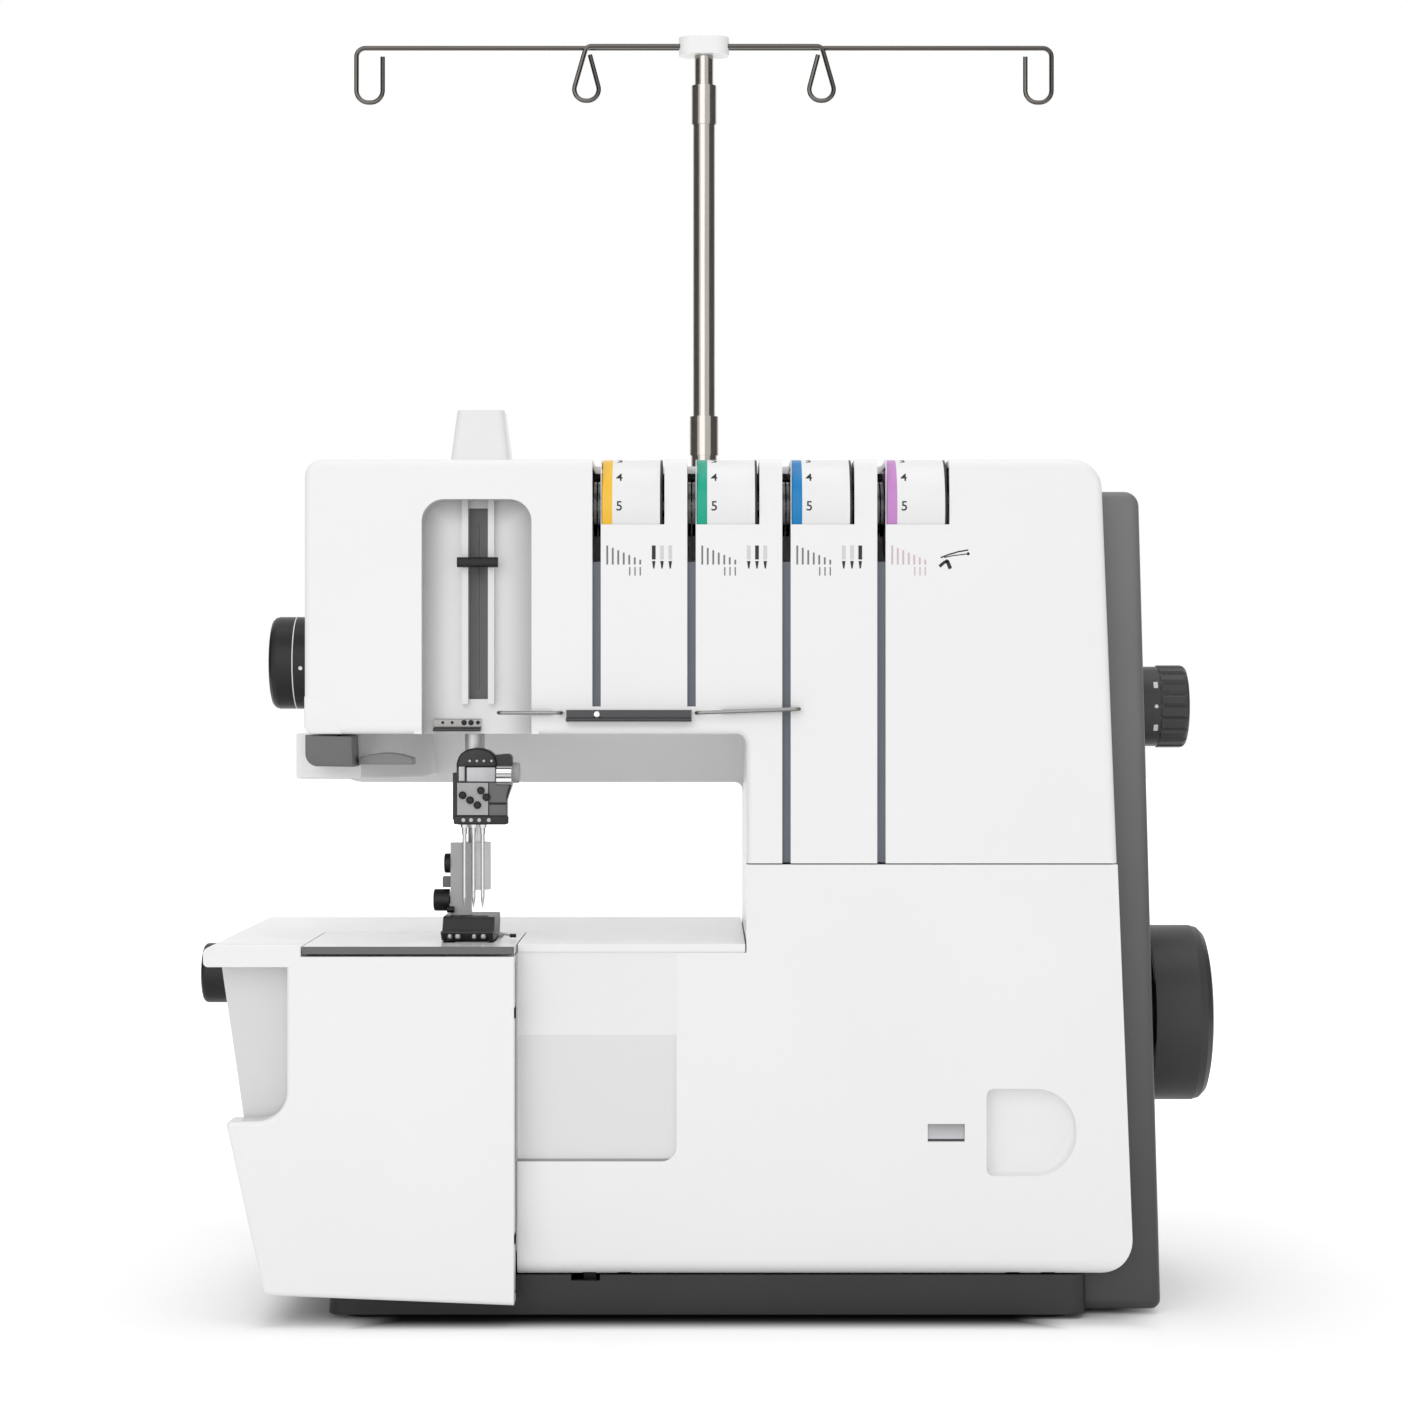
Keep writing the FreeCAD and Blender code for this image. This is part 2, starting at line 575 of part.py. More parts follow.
# Front cover: hinged panel over the looper compartment, with a finger grip and an indicator window
def front_outline(inset):
    left = SIDE_SEAM_X + SEAM_GAP / 2 + inset
    foot = PLINTH_TOP + SEAM_GAP + inset
    top = SEAM_HEIGHT - SEAM_GAP / 2 - inset
    under_bed = BED_TOP - max(WALL, PLATE_THICK) - SEAM_GAP - inset
    return [
        (left, foot, 0),
        (right_edge(foot) - inset, foot, FRONT_CORNER - inset),
        (right_edge(top) - inset, top, 0),
        (THROAT_RIGHT + inset, top, 0),
        (THROAT_RIGHT + inset, under_bed, 0),
        (left, under_bed, 0),
    ]


def grip_outline(grow):
    """D shape of the finger grip, larger all round by grow."""
    left, right = GRIP_X - GRIP_LEFT - grow, GRIP_X + GRIP_RIGHT + grow
    foot, top = GRIP_Z - GRIP_HALF - grow, GRIP_Z + GRIP_HALF + grow
    return [(left, foot, 3.0 + grow), (right, foot, GRIP_HALF - 1 + grow),
            (right, top, GRIP_HALF - 1 + grow), (left, top, 3.0 + grow)]


def front_cover():
    """Front skin with a shallow return on every side, hinge ears at its foot and a D-shaped finger grip.

    The lower front edge is round about the hinge axis, so it turns clear of the base.
    """
    foot = PLINTH_TOP + SEAM_GAP
    back = BODY_FRONT + COVER_RETURN
    section = prism_x([(BODY_FRONT, foot, COVER_AXIS_IN), (back, foot, 0), (back, SEAM_HEIGHT, 0),
                       (BODY_FRONT, SEAM_HEIGHT, 0)], SIDE_SEAM_X, RIGHT_BOTTOM)
    shell = prism_y(front_outline(0), BODY_FRONT, back).common(section)
    shell = shell.cut(prism_y(front_outline(WALL), BODY_FRONT + WALL, back + 1))
    high, crease, low = [BODY_FRONT + depth for depth in STEP_DEPTHS]
    left = SIDE_SEAM_X + SEAM_GAP / 2
    front = BODY_FRONT - 1
    shell = shell.fuse(box(left, STEP_RIGHT + WALL, front + 2, low + WALL, STEP_FOOT - WALL, STEP_CREASE))
    step = prism_y([(SIDE_SEAM_X, STEP_FOOT, 0), (STEP_RIGHT, STEP_FOOT, 6.0), (STEP_RIGHT, BED_TOP, 0),
                    (SIDE_SEAM_X, BED_TOP, 0)], front, low + 1)
    slope = prism_x([(front, STEP_FOOT, 0), (low, STEP_FOOT, 0), (crease, STEP_CREASE, 0), (high, BED_TOP, 0),
                     (front, BED_TOP, 0)], SIDE_SEAM_X - 1, STEP_RIGHT + 1)
    shell = shell.cut(step.common(slope))
    shell = shell.fuse(prism_y(grip_outline(WALL), BODY_FRONT + 1, BODY_FRONT + GRIP_DEPTH + WALL))
    dish = prism_y(grip_outline(0), BODY_FRONT - 1, BODY_FRONT + GRIP_DEPTH)
    floor = [e for e in dish.Edges if abs(e.BoundBox.YMin - BODY_FRONT - GRIP_DEPTH) < 1e-6]
    shell = shell.cut(dish.makeFillet(2.5, floor))
    x0, x1, z0, z1 = WINDOW
    window = BODY_FRONT + WINDOW_DEPTH
    shell = shell.fuse(box(x0 - 2, x1 + 2, BODY_FRONT + 1, window + 2, z0 - 2, z1 + 2))
    shell = shell.cut(box(x0, x1, BODY_FRONT - 1, window, z0, z1))
    for x in COVER_EARS:
        back_y, foot_z, top_z = COVER_AXIS_Y + EAR_R, COVER_AXIS_Z - EAR_R, COVER_AXIS_Z + EAR_R
        ear = prism_x([(BODY_FRONT + 1, COVER_AXIS_Z - 2, 0), (back_y, foot_z, EAR_ROUND),
                       (back_y, top_z, EAR_ROUND), (BODY_FRONT + 1, COVER_AXIS_Z + EAR_RISE, 0)],
                      x - EAR_WIDTH / 2, x + EAR_WIDTH / 2)
        shell = shell.fuse(ear)
        shell = shell.cut(rod_x(COVER_PIN_R + FIT, x - EAR_WIDTH, x + EAR_WIDTH, COVER_AXIS_Y, COVER_AXIS_Z))
    for middle in post_places():
        shell = shell.cut(box(middle - POST_WIDTH / 2 - RUN, middle + POST_WIDTH / 2 + RUN,
                              COVER_AXIS_Y - POST_HALF - RUN, back + 1, PLINTH_TOP, COVER_AXIS_Z + 8))
    return shell


# Side cover: swings forward on an upright hinge rod; the scoop at its left end is the finger pull
def side_outline(inset):
    """Panel outline drawn in by inset; its upper left corner steps down to the scoop's lip."""
    right = SIDE_SEAM_X - SEAM_GAP / 2 - inset
    top = SIDE_TOP - inset
    shoulder = BED_TOP - LIP - inset
    return [
        (SIDE_FOOT_LEFT + inset, SIDE_FOOT + SIDE_FOOT_RISE + inset, 3.0),
        (right, SIDE_FOOT + inset, 0),
        (right, top, 0),
        (PLATE_LEFT - SEAM_GAP + inset, top, 0),
        (PLATE_LEFT - SEAM_GAP + inset, shoulder, 0),
        (SCOOP_X + inset, shoulder, 0),
        (SCOOP_X + inset, SCOOP_FOOT - inset, 12.0),
        (SIDE_LEFT + inset, SCOOP_FOOT - inset, 2.0),
    ]


def side_cover():
    face = -HALF_DEPTH
    outer = prism_y(side_outline(0), face, SIDE_BACK)
    rims = [e for e in outer.Edges if abs(e.BoundBox.YMax - face) < 1e-6
            and e.BoundBox.XMax < SIDE_SEAM_X - 2 and e.BoundBox.ZMax < SCOOP_FOOT + 1]
    outer = outer.makeFillet(2.0, rims)
    lip = prism_y([(BED_LEFT, BED_TOP - LIP, 2.0), (PLATE_LEFT - SEAM_GAP, BED_TOP - LIP, 0),
                   (PLATE_LEFT - SEAM_GAP, BED_TOP, 0), (BED_LEFT, BED_TOP, 3.0)], face, SIDE_BACK)
    outer = outer.fuse(lip)
    hollow = prism_y(side_outline(WALL), face + WALL, SIDE_BACK + 1)
    open_end = box(SIDE_SEAM_X - WALL - 2, SIDE_SEAM_X + 1, face + WALL, SIDE_BACK + 1,
                   SIDE_FOOT + WALL, SIDE_TOP - WALL)
    shell = outer.cut(hollow).cut(open_end)
    shell = shell.cut(rod_z(SIDE_ROD_R + RUN, HINGE_ARMS[0][0] - 1, HINGE_ARMS[1][1] + 1,
                            SIDE_AXIS_X, SIDE_AXIS_Y))
    for z0, z1 in KNUCKLES:
        knuckle = box(SIDE_AXIS_X - KNUCKLE_R, SIDE_AXIS_X + KNUCKLE_R, face + 1, SIDE_AXIS_Y, z0, z1)
        shell = shell.fuse(knuckle).fuse(rod_z(KNUCKLE_R, z0, z1, SIDE_AXIS_X, SIDE_AXIS_Y))
        shell = shell.cut(rod_z(SIDE_ROD_R + FIT, z0 - 1, z1 + 1, SIDE_AXIS_X, SIDE_AXIS_Y))
    return shell


def side_cover_hinge():
    """Upright rod with two arms that reach back to the bed casting, clear of the panel as it swings."""
    rod = rod_z(SIDE_ROD_R, HINGE_ARMS[0][0], HINGE_ARMS[-1][1], SIDE_AXIS_X, SIDE_AXIS_Y)
    for z0, z1 in HINGE_ARMS:
        rod = rod.fuse(box(SIDE_AXIS_X - HINGE_ARM_WIDTH, SIDE_AXIS_X, SIDE_AXIS_Y, BED_POST[0], z0, z1))
    return rod


# Base and end cover
def hinge_post(x):
    """Bracket on the base that holds the front cover's hinge pin, reaching forward over the tray's edge."""
    x0, x1 = x - POST_WIDTH / 2, x + POST_WIDTH / 2
    foot, top = COVER_AXIS_Z - POST_HALF, COVER_AXIS_Z + POST_HALF
    front, nose = COVER_AXIS_Y - POST_HALF, POST_HALF - 0.1
    back = POST_COLUMN[1]
    arm = prism_x([(front, foot, nose), (back, foot, 0), (back, top, 0), (front, top, nose)], x0, x1)
    column = box(x0, x1, *POST_COLUMN, FOOT_HEIGHT + 1, top)
    return arm.fuse(column)


def post_places():
    reach = EAR_WIDTH / 2 + 2 * RUN + POST_WIDTH / 2
    return [x + side * reach for x in COVER_EARS for side in (-1, 1)]


def base_tray():
    outline = rect(BASE_LEFT, BASE_RIGHT, BASE_FRONT, BODY_BACK, 6.0)
    hollow = rect(BASE_LEFT + WALL, BASE_RIGHT - WALL, BASE_FRONT + WALL, BODY_BACK - WALL, 3.0)
    tray = prism_z(outline, FOOT_HEIGHT, PLINTH_TOP).cut(prism_z(hollow, FOOT_HEIGHT + WALL, PLINTH_TOP + 1))
    tray = tray.cut(box(*BASE_NOTCH, BASE_FRONT - 1, BASE_FRONT + WALL + 1,
                        PLINTH_TOP - BASE_NOTCH_DEPTH, PLINTH_TOP + 1))
    tray = tray.fuse([hinge_post(x) for x in post_places()])
    for x in post_places():
        tray = tray.cut(rod_x(COVER_PIN_R + FIT, x - POST_WIDTH, x + POST_WIDTH, COVER_AXIS_Y, COVER_AXIS_Z))
    return tray.fuse([rod_z(5.0, FOOT_HEIGHT + 1, CHASSIS_FLOOR, x, y) for x, y in CHASSIS_SEATS])


def front_cover_pins():
    reach = EAR_WIDTH / 2 + 2 * RUN + POST_WIDTH
    return [rod_x(COVER_PIN_R, x - reach, x + reach, COVER_AXIS_Y, COVER_AXIS_Z) for x in COVER_EARS]


def rubber_feet():
    places = [(x, y) for x in FOOT_XS for y in FOOT_YS]
    return [Part.makeCone(*FOOT_RADII, FOOT_HEIGHT, V(x, y, 0), V(0, 0, 1)) for x, y in places]


def end_cover():
    """Dark cap over the right end; its foot carries on the line of the base.

    A web at its front fills the space behind the front cover's round corner.
    """
    seam = SEAM_GAP
    top_x = right_edge(END_TOP_Z)
    outer = prism_y([(BASE_RIGHT + seam, FOOT_HEIGHT, 0), (END_FOOT_X, FOOT_HEIGHT, 4.0),
                     (END_TOP_X, END_TOP_Z, 6.0), (top_x + seam, END_TOP_Z, 0),
                     (right_edge(PLINTH_TOP) + seam, PLINTH_TOP, 0), (BASE_RIGHT + seam, PLINTH_TOP, 0)],
                    END_FRONT, BODY_BACK)
    long_edges = [e for e in outer.Edges if e.BoundBox.ZLength > END_TOP_Z / 2]
    outer = outer.makeFillet(4.0, [e for e in long_edges if e.BoundBox.XMin > top_x + 3])
    foot_x, reach = right_edge(PLINTH_TOP) + seam, FRONT_CORNER + seam
    rounded = prism_y([(foot_x, PLINTH_TOP, reach), (foot_x, PLINTH_TOP + 2 * reach, 0),
                       (foot_x - 2 * reach, PLINTH_TOP + 2 * reach, 0), (foot_x - 2 * reach, PLINTH_TOP, 0)],
                      END_FRONT - 1, END_FRONT + WALL + 1)
    corner = box(foot_x - reach, foot_x, END_FRONT, END_FRONT + WALL, PLINTH_TOP, PLINTH_TOP + reach)
    outer = outer.fuse(corner.cut(rounded))
    floor = PLINTH_TOP + 6
    hollow = prism_y([(right_edge(floor) - 2, floor, 0), (END_FOOT_X - WALL - 0.5, floor, 0),
                      (END_TOP_X - WALL, END_TOP_Z - WALL, 0), (top_x - 2, END_TOP_Z - WALL, 0)],
                     END_FRONT + WALL, BODY_BACK - WALL)
    shell = outer.cut(hollow)
    shell = shell.cut(rod_x(HANDWHEEL_HUB_R + 1, END_TOP_X - 10, HALF_WIDTH, SHAFT_Y, MAIN_SHAFT_Z))
    shell = shell.cut(rod_x(DIAL_STEM_R + RUN, END_TOP_X - 10, HALF_WIDTH, SHAFT_Y, LENGTH_DIAL_Z))
    for y0, y1 in (INLET_YS, SWITCH_YS):
        shell = shell.cut(box(END_TOP_X - 5, HALF_WIDTH, y0 - RUN, y1 + RUN,
                              INLET_ZS[0] - RUN, INLET_ZS[1] + RUN))
    y0, y1 = SWITCH_YS[0] - SWITCH_PIN_OUT - RUN, SWITCH_YS[1] + SWITCH_PIN_OUT + RUN
    return shell.cut(rod_y(SWITCH_PIN_R + FIT, y0, y1, SWITCH_AXIS_X, sum(INLET_ZS) / 2))


def power_inlet():
    block = prism_x(rect(*INLET_YS, *INLET_ZS, 2.0), INLET_BACK, INLET_FACE)
    socket = prism_x(rect(INLET_YS[0] + 3, INLET_YS[1] - 3, INLET_ZS[0] + 3, INLET_ZS[1] - 3, 2.0),
                     INLET_FACE - 14, INLET_FACE + 1)
    return block.cut(socket)


def power_switch():
    """Rocker on two pins: its two faces meet in a shallow V over the pivot."""
    middle = (INLET_ZS[0] + INLET_ZS[1]) / 2
    y0, y1 = SWITCH_YS
    rocker = prism_y([(SWITCH_AXIS_X - 4, middle - 5, 0), (INLET_FACE - 1.0, INLET_ZS[0] + 1, 1.0),
                      (INLET_FACE - 0.5, middle, 6.0), (INLET_FACE + 2.0, INLET_ZS[1] - 1, 1.0),
                      (SWITCH_AXIS_X - 4, middle + 5, 0)], y0 + RUN, y1 - RUN)
    return rocker.fuse(rod_y(SWITCH_PIN_R, y0 - SWITCH_PIN_OUT, y1 + SWITCH_PIN_OUT, SWITCH_AXIS_X, middle))


# Chassis: cast frame inside the housing that carries the shafts and bars
def bush_places():
    """(x0, x1, z, shaft radius) of every plain bush along the drive shafts."""
    main = [(x0, x1, MAIN_SHAFT_Z, MAIN_SHAFT_R) for x0, x1 in (LEFT_BEARING, *COLUMN_XS)]
    upper = [(x0, x1, UPPER_SHAFT_Z, UPPER_SHAFT_R) for x0, x1 in (ARM_BEARING, *COLUMN_XS)]
    return main + upper


def shaft_bushes():
    bushes = []
    for x0, x1, z, r in bush_places():
        ring = rod_x(r + BUSH_WALL, x0 - 1, x1 + 1, SHAFT_Y, z)
        bushes.append(ring.cut(rod_x(r + FIT, x0 - 2, x1 + 2, SHAFT_Y, z)))
    return bushes


def chassis_frame():
    floor = CHASSIS_TOP - 1
    frame = box(CHASSIS_LEFT, CHASSIS_RIGHT, CHASSIS_FRONT, CHASSIS_BACK, CHASSIS_FLOOR, CHASSIS_TOP)
    pieces = [box(x0, x1, *COLUMN_Y, floor, BEAM_Z[1]) for x0, x1 in COLUMN_XS]
    pieces.append(box(BEAM_LEFT, COLUMN_XS[1][1], *BEAM_Y, *BEAM_Z))
    pieces.append(box(*LEFT_BEARING, SHAFT_Y - 12, SHAFT_Y + 12, floor, MAIN_SHAFT_Z + 12))
    pieces.append(box(*ARM_BEARING, SHAFT_Y - 10, BEAM_Y[0] + 1, UPPER_SHAFT_Z - 12, UPPER_SHAFT_Z + 12))
    for z0, z1 in (LOWER_GUIDE, UPPER_GUIDE):
        pieces.append(box(*BRACKET_X, BRACKET_FRONT, BEAM_Y[0] + 1, z0, z1))
    lifter_top = LIFTER_Z + LIFTER_SHAFT_R + 3
    pieces.append(box(BRACKET_X[0], LIFTER_X + 8, BEAM_Y[0] - 6, BEAM_Y[1], LOWER_GUIDE[0], lifter_top))
    pieces.append(box(*ROCKER_BEARING, SHAFT_Y - 7, BEAM_Y[0] + 1, ROCKER_Z - 7, ROCKER_Z + 7))
    pieces.append(box(LOOPER_X - 7, LOOPER_X + 7, *LOOPER_BEARING, floor, LOOPER_Z + 8))
    hinge_x = (SIDE_AXIS_X - HINGE_ARM_WIDTH, SIDE_AXIS_X)
    pieces.append(box(*hinge_x, *BED_POST, CHASSIS_FLOOR, HINGE_ARMS[1][1] + 4))
    pieces.append(box(*hinge_x, BED_POST[1] - 1, CHASSIS_FRONT + 4, CHASSIS_FLOOR, HINGE_ARMS[0][1]))
    for x0, x1, y0, y1 in PLATE_POSTS:
        pieces.append(box(x0, x1, y0, y1, floor, BED_TOP - PLATE_THICK))
    pieces.append(box(*FEED_POST, floor, FEED_SEAT - RUN))
    pieces.append(box(*SECOND_POST, LOOPER_Z + 6, SECOND_SEAT - RUN))
    for index in range(4):
        x = tension_right(index) + 1.5
        pieces.append(box(x, x + TENSION_ARM, TENSION_Y - 5, BEAM_Y[0] + 1, TENSION_Z - 6, TENSION_Z + 6))
    frame = frame.fuse(pieces)
    for x0, x1, z, r in bush_places():
        frame = frame.cut(rod_x(r + BUSH_WALL, x0 - 1, x1 + 1, SHAFT_Y, z))
    for x, y, r in ((NEEDLE_X, NEEDLE_Y, NEEDLE_BAR_R), (NEEDLE_X, PRESSER_Y, PRESSER_BAR_R),
                    (TAKE_UP_ROD_X, TAKE_UP_ROD_Y, TAKE_UP_ROD_R)):
        frame = frame.cut(rod_z(r + FIT, LOWER_GUIDE[0] - 1, UPPER_GUIDE[1] + 5, x, y))
    frame = frame.cut(rod_y(LIFTER_SHAFT_R + FIT, BEAM_Y[0] - 10, BEAM_Y[1] + 1, LIFTER_X, LIFTER_Z))
    frame = frame.cut(rod_x(ROCKER_R + FIT, ROCKER_BEARING[0] - 1, ROCKER_BEARING[1] + 1, SHAFT_Y, ROCKER_Z))
    y0, y1 = LOOPER_BEARING
    frame = frame.cut(rod_y(LOOPER_SHAFT_R + FIT, y0 - 1, y1 + 1, LOOPER_X, LOOPER_Z))
    for index in range(4):
        frame = frame.cut(rod_x(TENSION_SPINDLE_R + FIT, slot_x(index), tension_right(index) + 10,
                                TENSION_Y, TENSION_Z))
    return frame


def tension_right(index):
    return tension_x(index) + TENSION_RING + TENSION_WIDTH


# Drive line: handwheel, shafts, wheels, belts and motor
def bored_x(r, x0, x1, y, z, bore):
    return rod_x(r, x0, x1, y, z).cut(rod_x(bore, x0 - 1, x1 + 1, y, z))


def flanged_wheel(r, x, width, y, z, bore):
    """Belt wheel with a thin flange on each side."""
    wheel = rod_x(r, x, x + width, y, z)
    for x0 in (x, x + width - FLANGE):
        wheel = wheel.fuse(rod_x(r + BELT + 0.5, x0, x0 + FLANGE, y, z))
    return wheel.cut(rod_x(bore, x - 1, x + width + 1, y, z))


def belt(x0, x1, first, second):
    """Closed belt round two wheels given as (y, z, radius), running just clear of both."""
    def hull(grow):
        (ya, za, ra), (yb, zb, rb) = first, second
        ra, rb = ra + grow, rb + grow
        span = math.hypot(yb - ya, zb - za)
        heading = math.atan2(zb - za, yb - ya)
        lean = math.acos((ra - rb) / span)
        def on(y, z, r, angle):
            return V(x0, y + r * math.cos(angle), z + r * math.sin(angle))
        up, down, back = heading + lean, heading - lean, heading + math.pi
        a_up, b_up = on(ya, za, ra, up), on(yb, zb, rb, up)
        a_down, b_down = on(ya, za, ra, down), on(yb, zb, rb, down)
        edges = [Part.Arc(a_up, on(ya, za, ra, back), a_down), Part.LineSegment(a_down, b_down),
                 Part.Arc(b_down, on(yb, zb, rb, heading), b_up), Part.LineSegment(b_up, a_up)]
        return Part.Face(Part.Wire([e.toShape() for e in edges])).extrude(V(x1 - x0, 0, 0))
    return hull(RUN + BELT).cut(hull(RUN))


def handwheel():
    x0 = HALF_WIDTH - HANDWHEEL_WIDTH
    wheel = drum_x(HANDWHEEL_R, x0, HALF_WIDTH, SHAFT_Y, MAIN_SHAFT_Z, 6.0)
    back = rod_x(HANDWHEEL_R - 5, x0 - 1, x0 + 8, SHAFT_Y, MAIN_SHAFT_Z)
    hub = rod_x(HANDWHEEL_HUB_R, END_TOP_X + 4, x0 + 9, SHAFT_Y, MAIN_SHAFT_Z)
    dish = rod_x(HANDWHEEL_R - 9, HALF_WIDTH - 1.5, HALF_WIDTH + 1, SHAFT_Y, MAIN_SHAFT_Z)
    wheel = wheel.cut(back).fuse(hub).cut(dish)
    return wheel.cut(rod_x(MAIN_SHAFT_R + FIT, x0 - 30, MAIN_SHAFT_X[1] + FIT, SHAFT_Y, MAIN_SHAFT_Z))


def main_shaft_wheels():
    bore = MAIN_SHAFT_R + FIT
    x = MAIN_SHAFT_X[0]
    eccentric = rod_x(ECCENTRIC_R, x, x + ECCENTRIC_WIDTH, SHAFT_Y, MAIN_SHAFT_Z + ECCENTRIC_THROW)
    eccentric = eccentric.cut(rod_x(bore, x - 1, x + ECCENTRIC_WIDTH + 1, SHAFT_Y, MAIN_SHAFT_Z))
    return [eccentric,
            flanged_wheel(TIMING_R, TIMING_X, TIMING_WIDTH, SHAFT_Y, MAIN_SHAFT_Z, bore),
            flanged_wheel(DRIVE_WHEEL_R, DRIVE_X, DRIVE_WIDTH, SHAFT_Y, MAIN_SHAFT_Z, bore)]


def upper_shaft_wheels():
    bore = UPPER_SHAFT_R + FIT
    x = UPPER_SHAFT_X[0]
    crank = bored_x(CRANK_R, x, x + CRANK_WIDTH, SHAFT_Y, UPPER_SHAFT_Z, bore)
    return [crank, flanged_wheel(TIMING_R, TIMING_X, TIMING_WIDTH, SHAFT_Y, UPPER_SHAFT_Z, bore)]


def drive_belts():
    timing = belt(TIMING_X + FLANGE + RUN, TIMING_X + TIMING_WIDTH - FLANGE - RUN,
                  (SHAFT_Y, UPPER_SHAFT_Z, TIMING_R), (SHAFT_Y, MAIN_SHAFT_Z, TIMING_R))
    drive = belt(DRIVE_X + FLANGE + RUN, DRIVE_X + DRIVE_WIDTH - FLANGE - RUN,
                 (SHAFT_Y, MAIN_SHAFT_Z, DRIVE_WHEEL_R), (MOTOR_Y, MOTOR_Z, MOTOR_PULLEY_R))
    return [timing, drive]


def motor():
    x0, x1 = MOTOR_X
    body = rod_x(MOTOR_R, x0, x1, MOTOR_Y, MOTOR_Z)
    body = body.makeChamfer(3.0, [e for e in body.Edges if len(e.Vertexes) == 1])
    cradle = box(*MOTOR_CRADLE, CHASSIS_TOP, MOTOR_Z - MOTOR_R / 2)
    body = body.fuse(cradle).fuse(rod_x(MOTOR_SHAFT_R + 4, x1 - 1, x1 + 6, MOTOR_Y, MOTOR_Z))
    return body.cut(rod_x(MOTOR_SHAFT_R + FIT, x1 - 14, x1 + 7, MOTOR_Y, MOTOR_Z))


def motor_shaft():
    shaft = rod_x(MOTOR_SHAFT_R, MOTOR_X[1] - 13, MOTOR_SHAFT_END, MOTOR_Y, MOTOR_Z)
    return [shaft, flanged_wheel(MOTOR_PULLEY_R, DRIVE_X, DRIVE_WIDTH, MOTOR_Y, MOTOR_Z, MOTOR_SHAFT_R + FIT)]


# Sewing head: needle bar, clamp, presser foot, lifter and take-up
def needle_xs():
    return [NEEDLE_X + step * NEEDLE_PITCH for step in (-1, 0, 1)]


def needle_bar():
    bar = rod_z(NEEDLE_BAR_R, NEEDLE_TOP + 1, NEEDLE_BAR_TOP, NEEDLE_X, NEEDLE_Y)
    pin_z = sum(COLLAR_Z) / 2
    pin = rod_x(1.5, NEEDLE_X, ROCKER_X[1], NEEDLE_Y, pin_z)
    return bar.fuse([rod_z(COLLAR_R, *COLLAR_Z, NEEDLE_X, NEEDLE_Y), pin])


def needle_clamp():
    """Block on the needle bar's foot: rounded top, a thread block on its right and a shield on its left."""
    x0, x1 = CLAMP_X
    y0, y1 = CLAMP_Y
    foot, top = CLAMP_FOOT, CLAMP_TOP
    block = prism_y([(x0, foot, 1.0), (x1, foot, 1.0), (x1, top, 6.0), (x0, top, 6.0)], y0, y1)
    side = prism_y([(x1 - 1, foot, 0), (x1 + 7, foot, 1.0), (x1 + 7, foot + 10, 2.0),
                    (x1 + 9, foot + 16, 2.0), (x1 + 9, top - 1, 2.0), (x1 - 1, top - 2, 0)], y0 + 1, y1 - 3)
    shield = box(x0 - 1.6, x0 + 0.5, y0 + 1, y1 - 2, foot + 2, top - 9)
    block = block.fuse([side, shield])
    block = block.cut(rod_z(NEEDLE_BAR_R + FIT, NEEDLE_TOP + 1 - FIT, CLAMP_TOP + 1, NEEDLE_X, NEEDLE_Y))
    for x in needle_xs():
        block = block.cut(rod_z(SHANK_R + FIT, CLAMP_FOOT - 1, NEEDLE_TOP + FIT, x, NEEDLE_Y))
    return block


def needle_clamp_plate():
    """Steel face plate of the clamp, its four set screws and the thumb screw on the right."""
    x0, x1 = CLAMP_X
    y0 = CLAMP_Y[0]
    plate = box(x0 + 0.4, x1 - 0.6, y0 - 1.5, y0, CLAMP_FOOT + 4, CLAMP_FOOT + 17)
    places = ((2.6, 12.0), (5.6, 10.0), (8.6, 8.0), (10.0, 13.6))
    screws = [rod_y(1.2, y0 - 2.7, y0 - 1.5, x0 + dx, CLAMP_FOOT + dz) for dx, dz in places]
    thumb = drum_x(4.2, x1 + 9, x1 + 12, (CLAMP_Y[0] + CLAMP_Y[1]) / 2 - 1, CLAMP_TOP - 9, 0.8)
    return [plate, thumb] + screws


def needles():
    """Three needles: a thick shank in the clamp, a slim blade and a cone point."""
    point = 4.0
    shapes = []
    for x in needle_xs():
        shank = rod_z(SHANK_R, CLAMP_FOOT - 4, NEEDLE_TOP, x, NEEDLE_Y)
        blade = rod_z(NEEDLE_R, NEEDLE_TIP + point, CLAMP_FOOT, x, NEEDLE_Y)
        tip = Part.makeCone(0.15, NEEDLE_R, point, V(x, NEEDLE_Y, NEEDLE_TIP), V(0, 0, 1))
        shapes.append(shank.fuse([blade, tip]).removeSplitter())
    return shapes


def needle_rocker():
    """Arm from its pivot shaft to the needle bar; its tip stops short of the bar's pin."""
    pin_z = sum(COLLAR_Z) / 2
    x0, x1 = ROCKER_X
    arm = prism_x([(SHAFT_Y, ROCKER_Z - 5, 0), (SHAFT_Y + 4, ROCKER_Z, 0), (SHAFT_Y, ROCKER_Z + 5, 0),
                   (ROCKER_TIP_Y, pin_z + 3, 2.0), (ROCKER_TIP_Y, pin_z - 3, 2.0)], x0, x1)
    hub = rod_x(6.0, x0, x1, SHAFT_Y, ROCKER_Z)
    return arm.fuse([hub, rod_x(ROCKER_R, x0, ROCKER_BEARING[1], SHAFT_Y, ROCKER_Z)])


def presser_bar():
    z0, thick = PRESSER_ARM
    bar = rod_z(PRESSER_BAR_R, FOOT_TOP + 12, PRESSER_BAR_TOP, NEEDLE_X, PRESSER_Y)
    arm = box(NEEDLE_X, LIFTER_X + CAM_THROW + 3, PRESSER_Y - 4, PRESSER_Y + 4, z0, z0 + thick)
    return bar.fuse([arm, rod_z(7.0, z0, z0 + thick, NEEDLE_X, PRESSER_Y)])


